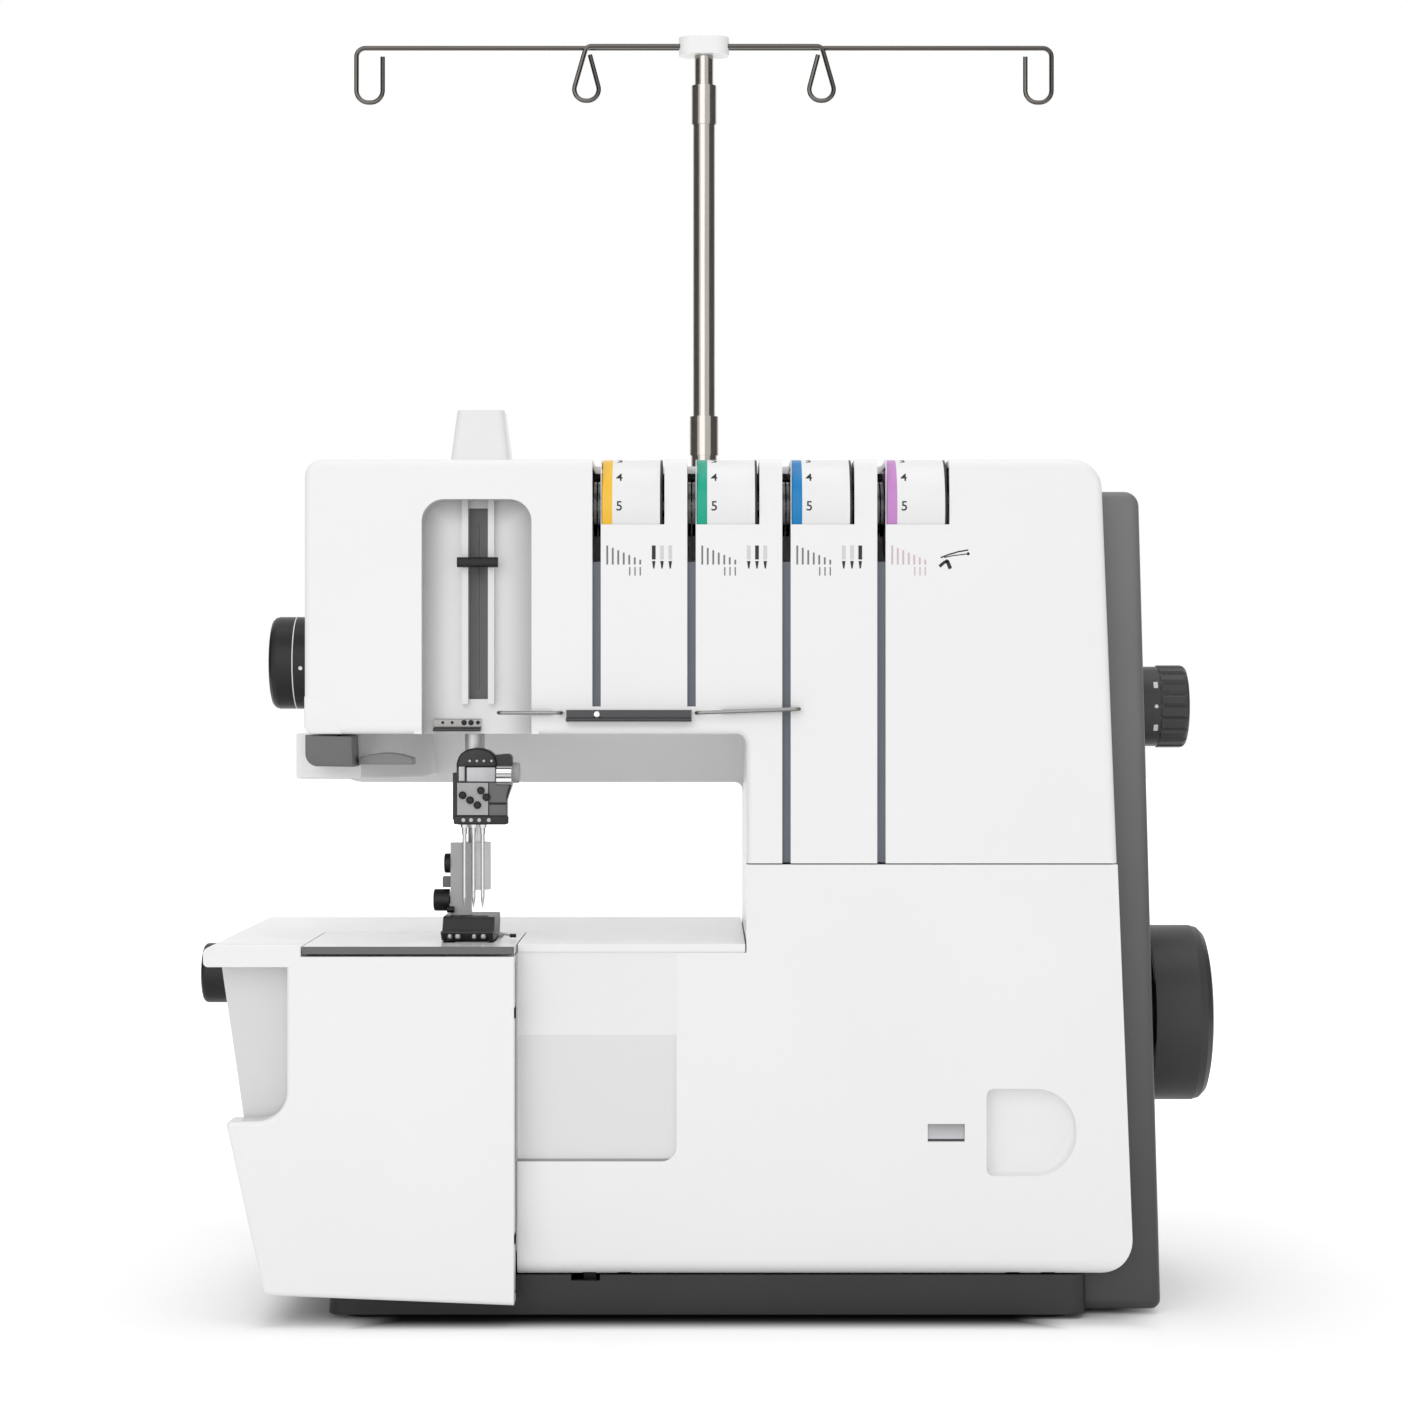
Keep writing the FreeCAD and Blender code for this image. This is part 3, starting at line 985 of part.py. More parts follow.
def presser_ankle():
    """Flat ankle with a sleeve round the presser bar; its thumb screw is the second solid."""
    plate = box(*ANKLE_X, *ANKLE_Y, FOOT_TOP, ANKLE_TOP)
    sleeve = rod_z(SLEEVE_R, FOOT_TOP + 10, ANKLE_TOP, NEEDLE_X, PRESSER_Y)
    bore = rod_z(PRESSER_BAR_R + FIT, FOOT_TOP + 12 - FIT, ANKLE_TOP + 1, NEEDLE_X, PRESSER_Y)
    ankle = plate.fuse(sleeve).cut(bore)
    y, z = sum(ANKLE_Y) / 2, FOOT_TOP + 6
    ankle = ankle.cut(rod_x(SCREW_R + FIT, ANKLE_X[0] - 1, ANKLE_X[0] + 6, y, z))
    screw = drum_x(4.5, ANKLE_X[0] - 7, ANKLE_X[0] - 0.5, y, z, 0.8, -1)
    return [ankle, screw.fuse(rod_x(SCREW_R, ANKLE_X[0] - 2, ANKLE_X[0] + 5, y, z)).removeSplitter()]


def presser_foot():
    front, back = FOOT_Y
    sole = FOOT_BOTTOM
    profile = [(front, sole + 4.5, 0.6), (front + 7, sole, 3.0), (back, sole, 0), (back, sole + 2.5, 0.6),
               (back + 9, FOOT_TOP, 3.0), (front + 14, FOOT_TOP, 3.0), (front + 9, sole + 3.5, 2.0)]
    foot = prism_x(profile, *FOOT_X)
    return foot.cut(box(NEEDLE_X - 6, NEEDLE_X + 6, NEEDLE_Y - 3, NEEDLE_Y + 3, sole - 1, FOOT_TOP + 1))


def presser_lifter():
    """Shaft through the back of the head with a lever behind it and a cam under the presser bar's arm."""
    shaft = rod_y(LIFTER_SHAFT_R, CAM_Y[0], LEVER_Y[1], LIFTER_X, LIFTER_Z)
    cam_x = LIFTER_X + CAM_THROW * math.cos(CAM_REST)
    cam_z = LIFTER_Z + CAM_THROW * math.sin(CAM_REST)
    cam = rod_y(CAM_R, *CAM_Y, cam_x, cam_z)
    tip_x = LIFTER_X + LEVER_LENGTH * math.cos(LEVER_REST)
    tip_z = LIFTER_Z + LEVER_LENGTH * math.sin(LEVER_REST)
    across = V(-math.sin(LEVER_REST), 0, math.cos(LEVER_REST))
    hub, tip = V(LIFTER_X, LEVER_Y[0], LIFTER_Z), V(tip_x, LEVER_Y[0], tip_z)
    corners = [hub + across * LEVER_HUB_R, hub - across * LEVER_HUB_R,
               tip - across * LEVER_TIP_R, tip + across * LEVER_TIP_R]
    web = Part.Face(Part.makePolygon(corners + corners[:1])).extrude(V(0, LEVER_Y[1] - LEVER_Y[0], 0))
    ends = [rod_y(LEVER_HUB_R, *LEVER_Y, LIFTER_X, LIFTER_Z), rod_y(LEVER_TIP_R, *LEVER_Y, tip_x, tip_z)]
    return shaft.fuse([cam, web] + ends)


def take_up_lever():
    """Finger in front of the slot, a thin neck through the guard and a carriage on the guide rod."""
    rails = RECESS_FLOOR - RAIL_DEPTH
    front = prism_x([(rails - 4, TAKE_UP_Z - 2, 1.5), (rails - RUN, TAKE_UP_Z - 2, 0),
                     (rails - RUN, TAKE_UP_Z + 2, 0), (rails - 4, TAKE_UP_Z + 2, 1.5)],
                    TAKE_UP_X - FINGER_HALF, TAKE_UP_X + FINGER_HALF)
    left, right = TAKE_UP_X - NECK_HALF, TAKE_UP_X + NECK_HALF
    foot, top = TAKE_UP_Z - 1.5, TAKE_UP_Z + 1.5
    neck = box(left, right, rails - 1, TAKE_UP_ROD_Y, foot, top)
    arm = box(left, TAKE_UP_ROD_X, RECESS_FLOOR + WALL + GUARD + 2 * RUN, TAKE_UP_ROD_Y + RUN, foot, top)
    carriage = rod_z(TAKE_UP_ROD_R + 1.8, *CARRIAGE_Z, TAKE_UP_ROD_X, TAKE_UP_ROD_Y)
    bore = rod_z(TAKE_UP_ROD_R + FIT, CARRIAGE_Z[0] - 1, CARRIAGE_Z[1] + 1, TAKE_UP_ROD_X, TAKE_UP_ROD_Y)
    return front.fuse([neck, arm, carriage]).cut(bore)


def take_up_guard():
    """Dark strip behind the slot with a slit for the lever's neck."""
    y0 = RECESS_FLOOR + WALL
    z0, z1 = TAKE_UP_SLOT
    half = TAKE_UP_SLOT_HALF + 2
    strip = box(TAKE_UP_X - half, TAKE_UP_X + half, y0, y0 + GUARD, z0 - 2, z1 + 1)
    slit = NECK_HALF + RUN + 0.1
    return strip.cut(box(TAKE_UP_X - slit, TAKE_UP_X + slit, y0 - 1, y0 + GUARD + 1, z0 + 4, z1 - 6))


def take_up_hood():
    """Tapered white tower on the head that the needle bar rises into."""
    def ring(half, inset, z):
        half_x, half_y = half[0] - inset, half[1] - inset
        outline = rect(HOOD_X - half_x, HOOD_X + half_x, NEEDLE_Y - half_y, NEEDLE_Y + half_y, 3.0)
        return corner_wire(outline, lambda p: V(p.x, p.y, z))
    def tower(inset):
        rings = [ring(HOOD_FOOT_HALF, inset, BODY_TOP), ring(HOOD_TOP_HALF, inset, HOOD_TOP - inset)]
        return Part.makeLoft(rings, True, True)
    return tower(0).cut(tower(HOOD_WALL))


# Bed: needle plate, feed dogs and looper
def needle_plate():
    outline = rect(PLATE_LEFT, SIDE_SEAM_X, -HALF_DEPTH + 1, PLATE_BACK, 1.0)
    plate = prism_z(outline, BED_TOP - PLATE_THICK, BED_TOP)
    z0, z1 = BED_TOP - PLATE_THICK - 1, BED_TOP + 1
    plate = plate.cut(box(NEEDLE_X - 5.5, NEEDLE_X + 5.5, NEEDLE_Y - 3, NEEDLE_Y + 3, z0, z1))
    for x0, x1 in FEED_ROWS:
        plate = plate.cut(box(x0 - 0.6, x1 + 0.6, SECOND_Y[0] - 5, FEED_Y[1] + 4, z0, z1))
    return plate


def toothed_row(x0, x1, y0, y1, foot):
    """One row of the feed dog with saw teeth along its top."""
    pitch = 2.0
    count = int((y1 - y0) / pitch)
    points = [(y0, foot, 0), (y0 + count * pitch, foot, 0)]
    for i in range(count, 0, -1):
        points.append((y0 + i * pitch, FEED_TEETH - 0.9, 0))
        points.append((y0 + (i - 0.7) * pitch, FEED_TEETH, 0))
    points.append((y0, FEED_TEETH - 0.9, 0))
    return prism_x(points, x0, x1)


def feed_dog():
    foot = SECOND_SEAT + 3.5
    rows = [toothed_row(x0, x1, *FEED_Y, foot) for x0, x1 in FEED_ROWS]
    top = BED_TOP - PLATE_THICK - 0.4
    cross = box(FEED_ROWS[0][0], FEED_ROWS[1][1], FEED_Y[1] - 2, FEED_Y[1] + 3, foot, top)
    stem = box(FEED_POST[0] + 1, FEED_POST[1] - 1, FEED_Y[1] - 2, FEED_Y[1] + 3, FEED_SEAT, foot + 1)
    shoe = box(FEED_POST[0] + 1, FEED_POST[1] - 1, FEED_Y[1] - 5, FEED_Y[1] + 5, FEED_SEAT, FEED_SEAT + 4)
    return rows[0].fuse([rows[1], cross, stem, shoe])


def differential_feed_dog():
    top = SECOND_SEAT + 3.2
    back = SECOND_POST[2] + 1
    pieces = [toothed_row(x0, x1, *SECOND_Y, SECOND_SEAT) for x0, x1 in FEED_ROWS]
    pieces += [box(x0, x1, SECOND_Y[0], back + 6, SECOND_SEAT, top) for x0, x1 in FEED_ROWS]
    pieces.append(box(FEED_ROWS[0][0], FEED_ROWS[1][1], back, back + 6, SECOND_SEAT, top))
    return pieces[0].fuse(pieces[1:])


def looper():
    """Rocking arm with a pointed blade that passes behind the needles."""
    shaft = rod_y(LOOPER_SHAFT_R, NEEDLE_Y - 3, LOOPER_BEARING[1] + 2, LOOPER_X, LOOPER_Z)
    hub = rod_y(6.0, NEEDLE_Y + 0.5, NEEDLE_Y + 8, LOOPER_X, LOOPER_Z)
    arm = prism_y([(LOOPER_X - 5, LOOPER_Z, 0), (LOOPER_X + 5, LOOPER_Z, 0), (LOOPER_X + 3, LOOPER_TOP, 0),
                   (LOOPER_X - 3, LOOPER_TOP, 0)], NEEDLE_Y + 1.2, NEEDLE_Y + 5)
    blade = prism_y([(LOOPER_X + 3, LOOPER_TOP - 1, 0), (LOOPER_X + 3, LOOPER_TOP + 3, 2.0),
                     (LOOPER_X - 8, LOOPER_TOP + 3.5, 6.0), (LOOPER_X - 18, LOOPER_TOP + 1, 0.3),
                     (LOOPER_X - 8, LOOPER_TOP - 1, 3.0)], NEEDLE_Y + 1.2, NEEDLE_Y + 3.2)
    return shaft.fuse([hub, arm, blade])


# Dials on the outside of the housing
def feed_dial():
    knob = drum_x(FEED_DIAL_R, -HALF_WIDTH, BED_LEFT - SEAM_GAP, FEED_DIAL_Y, FEED_DIAL_Z, 2.0, -1)
    return knob.fuse(rod_x(DIAL_STEM_R, BED_LEFT - 1, BED_SIDE_TOP + 10, FEED_DIAL_Y, FEED_DIAL_Z))


def pressure_dial():
    x0 = HEAD_LEFT - PRESSURE_DIAL_WIDTH
    knob = drum_x(PRESSURE_DIAL_R, x0, HEAD_LEFT - SEAM_GAP, PRESSURE_DIAL_Y, PRESSURE_DIAL_Z, 3.0, -1)
    return knob.fuse(rod_x(DIAL_STEM_R, HEAD_LEFT - 1, HEAD_LEFT + 12, PRESSURE_DIAL_Y, PRESSURE_DIAL_Z))


def stitch_length_dial():
    """Smooth collar with a ribbed grip at its outer end."""
    x0 = END_TOP_X + 4.0
    grip = LENGTH_DIAL_FACE - LENGTH_DIAL_GRIP
    collar = rod_x(LENGTH_DIAL_R - 0.6, x0, grip + 1, SHAFT_Y, LENGTH_DIAL_Z)
    step = 2 * math.pi / LENGTH_DIAL_RIBS
    outline = []
    for i in range(LENGTH_DIAL_RIBS):
        for share, depth in ((0.0, RIB_DEPTH), (0.25, 0.0), (0.75, 0.0)):
            angle = (i + share) * step
            r = LENGTH_DIAL_R - depth
            outline.append((SHAFT_Y + r * math.cos(angle), LENGTH_DIAL_Z + r * math.sin(angle), 0))
    ribbed = prism_x(outline, grip, LENGTH_DIAL_FACE)
    ribbed = ribbed.common(drum_x(LENGTH_DIAL_R, grip, LENGTH_DIAL_FACE, SHAFT_Y, LENGTH_DIAL_Z, 2.5))
    return ribbed.fuse([collar, rod_x(DIAL_STEM_R, RIGHT_TOP - 8, x0 + 1, SHAFT_Y, LENGTH_DIAL_Z)])


# Tension units: a dial with a coloured rim, two discs on a spindle and a dark liner behind the thread slot
def tension_dial(index):
    x = tension_x(index)
    middle = x + TENSION_RING
    bore = TENSION_SPINDLE_R + FIT
    ring = bored_x(TENSION_R, x, middle, TENSION_Y, TENSION_Z, bore)
    dial = bored_x(TENSION_R, middle, middle + TENSION_WIDTH, TENSION_Y, TENSION_Z, bore)
    return [ring, dial]


def tension_discs():
    pieces = []
    for index in range(4):
        x = slot_x(index)
        spindle_end = tension_right(index) + 1.5 + TENSION_ARM + 2
        pieces.append(rod_x(TENSION_SPINDLE_R, x - 4, spindle_end, TENSION_Y, TENSION_Z))
        for side in (-1, 1):
            near, far = x + side * 0.3, x + side * 1.5
            pieces.append(bored_x(TENSION_DISC_R, min(near, far), max(near, far), TENSION_Y, TENSION_Z,
                                  TENSION_SPINDLE_R + FIT))
    return pieces


def slot_liners():
    y0 = BODY_FRONT + WALL
    liners = []
    for index in range(4):
        x = slot_x(index)
        foot = max(slot_foot(index) - 2, SEAM_HEIGHT + SEAM_GAP)
        liners.append(box(x - SLOT_WIDTH, x + SLOT_WIDTH, y0, y0 + 1.2, foot, LINER_TOP))
    return liners


# Thread stand: tray with spool pins, telescopic mast and thread guide
def spool_tray():
    z0 = TRAY_TOP - TRAY_THICK
    outline = [(-TRAY_HALF, BODY_BACK, 0), (TRAY_HALF, BODY_BACK, 0), (TRAY_HALF, HALF_DEPTH, 24.0),
               (-TRAY_HALF, HALF_DEPTH, 24.0)]
    w = WALL
    hollow = [(-TRAY_HALF + w, BODY_BACK + w, 0), (TRAY_HALF - w, BODY_BACK + w, 0),
              (TRAY_HALF - w, HALF_DEPTH - w, 24.0 - w), (-TRAY_HALF + w, HALF_DEPTH - w, 24.0 - w)]
    tray = prism_z(outline, z0, TRAY_TOP).cut(prism_z(hollow, z0 - 1, TRAY_TOP - w))
    tray = tray.fuse(rod_z(MAST_OUTER_R + 4, MAST_FOOT - 2, TRAY_TOP + 6, MAST_X, MAST_Y))
    tray = tray.cut(rod_z(MAST_OUTER_R + FIT, MAST_FOOT - FIT, TRAY_TOP + 7, MAST_X, MAST_Y))
    tray = tray.fuse([rod_z(SPOOL_PIN_R + 3, z0 + 2, TRAY_TOP - 1, x, SPOOL_Y) for x in SPOOL_XS])
    for x in SPOOL_XS:
        tray = tray.cut(rod_z(SPOOL_PIN_R + FIT, z0 + 4, TRAY_TOP + 1, x, SPOOL_Y))
    return tray


def spool_pins():
    pins = []
    for x in SPOOL_XS:
        foot = TRAY_TOP - TRAY_THICK + 4 + FIT
        shoulder = TRAY_TOP + CONE_HEIGHT + 0.5
        shank = rod_z(SPOOL_PIN_R, foot, shoulder, x, SPOOL_Y)
        pin = rod_z(SPOOL_PIN_TIP_R, shoulder, SPOOL_PIN_TOP - 3, x, SPOOL_Y)
        tip = Part.makeCone(SPOOL_PIN_TIP_R, 1.2, 3.0, V(x, SPOOL_Y, SPOOL_PIN_TOP - 3), V(0, 0, 1))
        pins.append(shank.fuse([pin, tip]).removeSplitter())
    return pins


def cone_holders():
    """Disc with a cone over each spool pin, which steadies a large cone of thread."""
    holders = []
    for x in SPOOL_XS:
        disc = rod_z(CONE_DISC_R, TRAY_TOP, TRAY_TOP + 2.5, x, SPOOL_Y)
        cone = Part.makeCone(13.0, 8.0, CONE_HEIGHT - 2, V(x, SPOOL_Y, TRAY_TOP + 2), V(0, 0, 1))
        bore = rod_z(SPOOL_PIN_R + FIT, TRAY_TOP - 1, TRAY_TOP + CONE_HEIGHT + 1, x, SPOOL_Y)
        holders.append(disc.fuse(cone).cut(bore).removeSplitter())
    return holders


def mast_tube(r, z0, z1):
    """Tube with a collar at its top; its bore takes the next tube."""
    tube = rod_z(r, z0, z1, MAST_X, MAST_Y)
    tube = tube.fuse(rod_z(r + MAST_COLLAR, z1 - MAST_COLLAR_LENGTH, z1, MAST_X, MAST_Y))
    return tube.cut(rod_z(r - MAST_TUBE_WALL, z0 + 1, z1 + 1, MAST_X, MAST_Y))


def mast_radius(section):
    return MAST_OUTER_R - section * (MAST_TUBE_WALL + FIT)


def mast_top():
    return rod_z(mast_radius(2), MAST_TOP_FOOT, GUIDE_Z - GUIDE_CAP[2] - FIT + 5, MAST_X, MAST_Y)


def guide_cap():
    """White block on top of the mast that holds the guide wires."""
    half_x, half_y, half_z = GUIDE_CAP
    cap = prism_z(rect(MAST_X - half_x, MAST_X + half_x, MAST_Y - half_y, MAST_Y + half_y, half_y - 0.5),
                  GUIDE_Z - half_z, GUIDE_Z + half_z)
    cap = cap.cut(rod_z(mast_radius(2) + FIT, GUIDE_Z - half_z - 1, GUIDE_Z - half_z + 5, MAST_X, MAST_Y))
    for side in (-1, 1):
        for y in guide_wire_ys():
            x = MAST_X + side * (half_x - WIRE_SEAT)
            cap = cap.cut(rod_x(GUIDE_WIRE_R + FIT, min(x, x + side * 20), max(x, x + side * 20), y, GUIDE_Z))
    return cap


def guide_wire_ys():
    return (MAST_Y - 2.2, MAST_Y + 2.2)


def bent_wire(points, r):
    """Eight-sided wire through (x, y, z, bend radius) points, with tangent arcs at its bends."""
    places = [V(*p[:3]) for p in points]
    edges = []
    start = places[0]
    for i in range(1, len(points) - 1):
        corner = places[i]
        before = (places[i - 1] - corner).normalize()
        after = (places[i + 1] - corner).normalize()
        half = before.getAngle(after) / 2
        bend = points[i][3]
        reach = bend / math.tan(half)
        middle = (before + after).normalize()
        tip = corner + middle * (bend / math.sin(half) - bend)
        first, last = corner + before * reach, corner + after * reach
        edges.append(Part.LineSegment(start, first).toShape())
        edges.append(Part.Arc(first, tip, last).toShape())
        start = last
    edges.append(Part.LineSegment(start, places[-1]).toShape())
    path = Part.Wire(edges)
    heading = (places[1] - places[0]).normalize()
    across = heading.cross(V(0.3, 0.5, 0.8)).normalize()
    side = heading.cross(across)
    turns = [math.radians(45 * i) for i in range(8)]
    corners = [places[0] + across * (r * math.cos(a)) + side * (r * math.sin(a)) for a in turns]
    return path.makePipeShell([Part.makePolygon(corners + corners[:1])], True, False)


def thread_guide_wires():
    """A long wire with an oblong eye and a short wire with a teardrop eye on each side of the mast."""
    wires = []
    front, back = guide_wire_ys()
    for side in (-1, 1):
        def at(x, z, bend, y):
            return (MAST_X + side * x, y, GUIDE_Z + z, bend)
        root = GUIDE_CAP[0] - WIRE_SEAT + FIT
        end, wide, drop = GUIDE_HALF, EYE_WIDTH, EYE_DROP
        wires.append(bent_wire([at(root, 0, 0, back), at(end, 0, 4.0, back), at(end, -drop, 5.5, back),
                                at(end - wide, -drop, 5.5, back), at(end - wide, -4, 0, back)], GUIDE_WIRE_R))
        x = TEARDROP_X
        wires.append(bent_wire([at(root, 0, 0, front), at(x, 0, 3.0, front), at(x + 7.2, -drop, 5.2, front),
                                at(x - 7.2, -drop, 5.2, front), at(x - 1.6, -4, 0, front)], GUIDE_WIRE_R))
    return wires


# Small fittings on the head
def thread_guides():
    """Guide bar and two wire guides under the head's face, and a small guide beside the take-up."""
    face = BODY_FRONT
    x0, x1 = GUIDE_BAR_X
    z0 = GUIDE_BAR_Z
    bar = prism_x([(face - 6, z0, 0.6), (face, z0, 0), (face, z0 + 4.6, 0), (face - 1.2, z0 + 4.6, 0.4),
                   (face - 1.6, z0 + 1.4, 0.6), (face - 6, z0 + 1.4, 0.5)], x0, x1)
    out, near, wire_z = face - 4.5, face - 0.9, z0 + 3.5
    left = bent_wire([(x0 - 2, face, wire_z, 0), (x0 - 2, out, wire_z, 2.0), (x0 - 27, out, wire_z, 1.8),
                      (x0 - 27, near, wire_z, 0.9), (x0 - 6, near, wire_z, 0)], HEAD_WIRE_R)
    high = wire_z + 1.5
    right = bent_wire([(x1 + 2, face, wire_z, 0), (x1 + 2, out, wire_z, 2.0), (x1 + 43, out, high, 1.8),
                       (x1 + 43, near, high, 0.9), (x1 + 12, near, high - 1, 0)], HEAD_WIRE_R)
    floor, foot = RECESS_FLOOR, HEAD_BOTTOM + 1
    needle_guide = prism_x([(floor - 6, foot, 0.6), (floor, foot, 0), (floor, foot + 5, 0),
                            (floor - 1.2, foot + 5, 0.4), (floor - 1.2, foot + 1.2, 0.4),
                            (floor - 6, foot + 1.2, 0.5)], *NEEDLE_GUIDE_X)
    return [bar, left, right, needle_guide]


def thread_cutter():
    x0, x1 = HEAD_LEFT + 0.5, HEAD_LEFT + 21.0
    outline = [(x0, HEAD_BOTTOM - 12, 8.0), (x1, HEAD_BOTTOM - 12, 0), (x1 - 1, HEAD_BOTTOM, 0),
               (x0 + CORNER, HEAD_BOTTOM, 0), (x0 + 3, HEAD_BOTTOM - 1, 0)]
    return prism_y(outline, BODY_FRONT + 8, BODY_FRONT + 30)


def lamp_lens():
    x0, x1 = LAMP_X
    foot = HEAD_BOTTOM - 7
    outline = [(x0, HEAD_BOTTOM, 0), (x0, foot, 3.0), (x1, foot, 3.0), (x1, HEAD_BOTTOM, 0)]
    return prism_y(outline, BODY_FRONT + 22, BODY_FRONT + 42)


def rear_cover_screws():
    screws = []
    for x, z in rear_screw_places():
        head = rod_y(SCREW_HEAD_R, BODY_BACK, BODY_BACK + 1.5, x, z)
        screws.append(head.fuse(rod_y(SCREW_R, BODY_BACK - 8, BODY_BACK + 0.5, x, z)).removeSplitter())
    return screws


save("upper_front_cover", upper_front_cover())
save("rear_cover", rear_cover())
save("rear_cover_screws", *rear_cover_screws())
save("bed_cover", bed_cover())
save("front_cover", front_cover())
save("front_cover_pins", *front_cover_pins())
save("side_cover", side_cover())
save("side_cover_hinge", side_cover_hinge())
save("base_tray", base_tray())
save("rubber_feet", *rubber_feet())
save("end_cover", end_cover())
save("power_inlet", power_inlet())
save("power_switch", power_switch())
save("chassis_frame", chassis_frame())
save("shaft_bushes", *shaft_bushes())
save("main_shaft", rod_x(MAIN_SHAFT_R, *MAIN_SHAFT_X, SHAFT_Y, MAIN_SHAFT_Z))
save("handwheel", handwheel())
save("main_shaft_wheels", *main_shaft_wheels())
save("upper_shaft", rod_x(UPPER_SHAFT_R, *UPPER_SHAFT_X, SHAFT_Y, UPPER_SHAFT_Z))
save("upper_shaft_wheels", *upper_shaft_wheels())
save("drive_belts", *drive_belts())
save("motor", motor())
save("motor_shaft", *motor_shaft())
save("needle_bar", needle_bar())
save("needle_clamp", needle_clamp())
save("needle_clamp_plate", *needle_clamp_plate())
save("needles", *needles())
save("needle_rocker", needle_rocker())
save("presser_bar", presser_bar())
save("presser_ankle", *presser_ankle())
save("presser_foot", presser_foot())
save("presser_lifter", presser_lifter())
save("take_up_lever", take_up_lever())
save("take_up_guide_rod",
     rod_z(TAKE_UP_ROD_R, LOWER_GUIDE[0], UPPER_GUIDE[1] + 1, TAKE_UP_ROD_X, TAKE_UP_ROD_Y))
save("take_up_guard", take_up_guard())
save("take_up_hood", take_up_hood())
save("needle_plate", needle_plate())
save("feed_dog", feed_dog())
save("differential_feed_dog", differential_feed_dog())
save("looper", looper())
save("feed_dial", feed_dial())
save("pressure_dial", pressure_dial())
save("stitch_length_dial", stitch_length_dial())
for number, colour in enumerate(TENSION_COLOURS):
    save("tension_dial_" + colour, *tension_dial(number))
save("tension_discs", *tension_discs())
save("slot_liners", *slot_liners())
save("spool_tray", spool_tray())
save("spool_pins", *spool_pins())
save("cone_holders", *cone_holders())
save("mast_outer_tube", mast_tube(mast_radius(0), MAST_FOOT, MAST_OUTER_TOP))
save("mast_middle_tube", mast_tube(mast_radius(1), MAST_MIDDLE_FOOT, MAST_MIDDLE_TOP))
save("mast_top_rod", mast_top())
save("guide_cap", guide_cap())
save("thread_guide_wires", *thread_guide_wires())
save("thread_guides", *thread_guides())
save("thread_cutter", thread_cutter())
save("lamp_lens", lamp_lens())
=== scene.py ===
"""Looks of a coverstitch sewing machine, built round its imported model.

Metres, +Z up, +X to the right of the person sewing, -Y towards that person.
"""
import math

import bmesh
import bpy
import numpy as np
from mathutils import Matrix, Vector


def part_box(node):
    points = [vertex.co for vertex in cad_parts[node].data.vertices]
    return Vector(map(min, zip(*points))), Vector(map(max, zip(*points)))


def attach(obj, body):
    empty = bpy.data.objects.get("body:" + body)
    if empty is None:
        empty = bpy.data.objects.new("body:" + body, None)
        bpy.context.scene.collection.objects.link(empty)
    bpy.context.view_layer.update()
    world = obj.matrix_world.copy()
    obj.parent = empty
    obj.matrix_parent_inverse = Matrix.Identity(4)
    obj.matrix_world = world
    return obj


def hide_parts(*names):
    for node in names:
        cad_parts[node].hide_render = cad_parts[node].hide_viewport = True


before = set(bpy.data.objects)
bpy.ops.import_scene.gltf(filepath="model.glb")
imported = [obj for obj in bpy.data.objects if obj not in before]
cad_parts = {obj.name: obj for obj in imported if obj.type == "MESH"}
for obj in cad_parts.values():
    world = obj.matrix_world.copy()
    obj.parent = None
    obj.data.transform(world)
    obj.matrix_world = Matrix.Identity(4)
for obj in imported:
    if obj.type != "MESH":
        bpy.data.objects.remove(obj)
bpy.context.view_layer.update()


# Camera: it stands square in front of the machine, level with the underside of the head,
# and a long lens keeps the sides of the housing nearly hidden.
CAMERA_DISTANCE = 1.25          # from the front face of the housing
CAMERA_HEIGHT = 0.247
CAMERA_X = -0.001
FRAME_WIDTH = 0.5632            # what the picture's width spans at the front face
SENSOR = 36.0
front_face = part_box("upper_front_cover")[0].y
lens = bpy.data.cameras.new("camera")
lens.sensor_width = SENSOR
lens.lens = SENSOR * CAMERA_DISTANCE / FRAME_WIDTH
lens.clip_end = 50.0
camera = bpy.data.objects.new("camera", lens)
camera.location = (CAMERA_X, front_face - CAMERA_DISTANCE, CAMERA_HEIGHT)
camera.rotation_euler = (math.pi / 2, 0, 0)
bpy.context.scene.collection.objects.link(camera)
bpy.context.scene.camera = camera
bpy.context.scene.view_settings.view_transform = "Standard"


# Studio: a pale floor under a white world, a broad soft lamp beside the camera, a weaker one overhead
# and one behind. Dark cards at both sides show only in reflections and draw the lines along the tubes.
class Tone:
    """A shader socket in plain arithmetic: every operator adds one Math node to its tree."""

    def __init__(self, paint, socket):
        self.paint = paint
        self.socket = socket

    def join(self, operation, other, swapped=False):
        first, second = (other, self) if swapped else (self, other)
        return self.paint.tone("Math", {"operation": operation}, {0: first, 1: second})

    def __add__(self, other):
        return self.join("ADD", other)

    def __sub__(self, other):
        return self.join("SUBTRACT", other)

    def __rsub__(self, other):
        return self.join("SUBTRACT", other, True)

    def __mul__(self, other):
        return self.join("MULTIPLY", other)

    __radd__ = __add__
    __rmul__ = __mul__

    def above(self, edge):
        return self.join("GREATER_THAN", edge)

    def larger(self, other):
        return self.join("MAXIMUM", other)


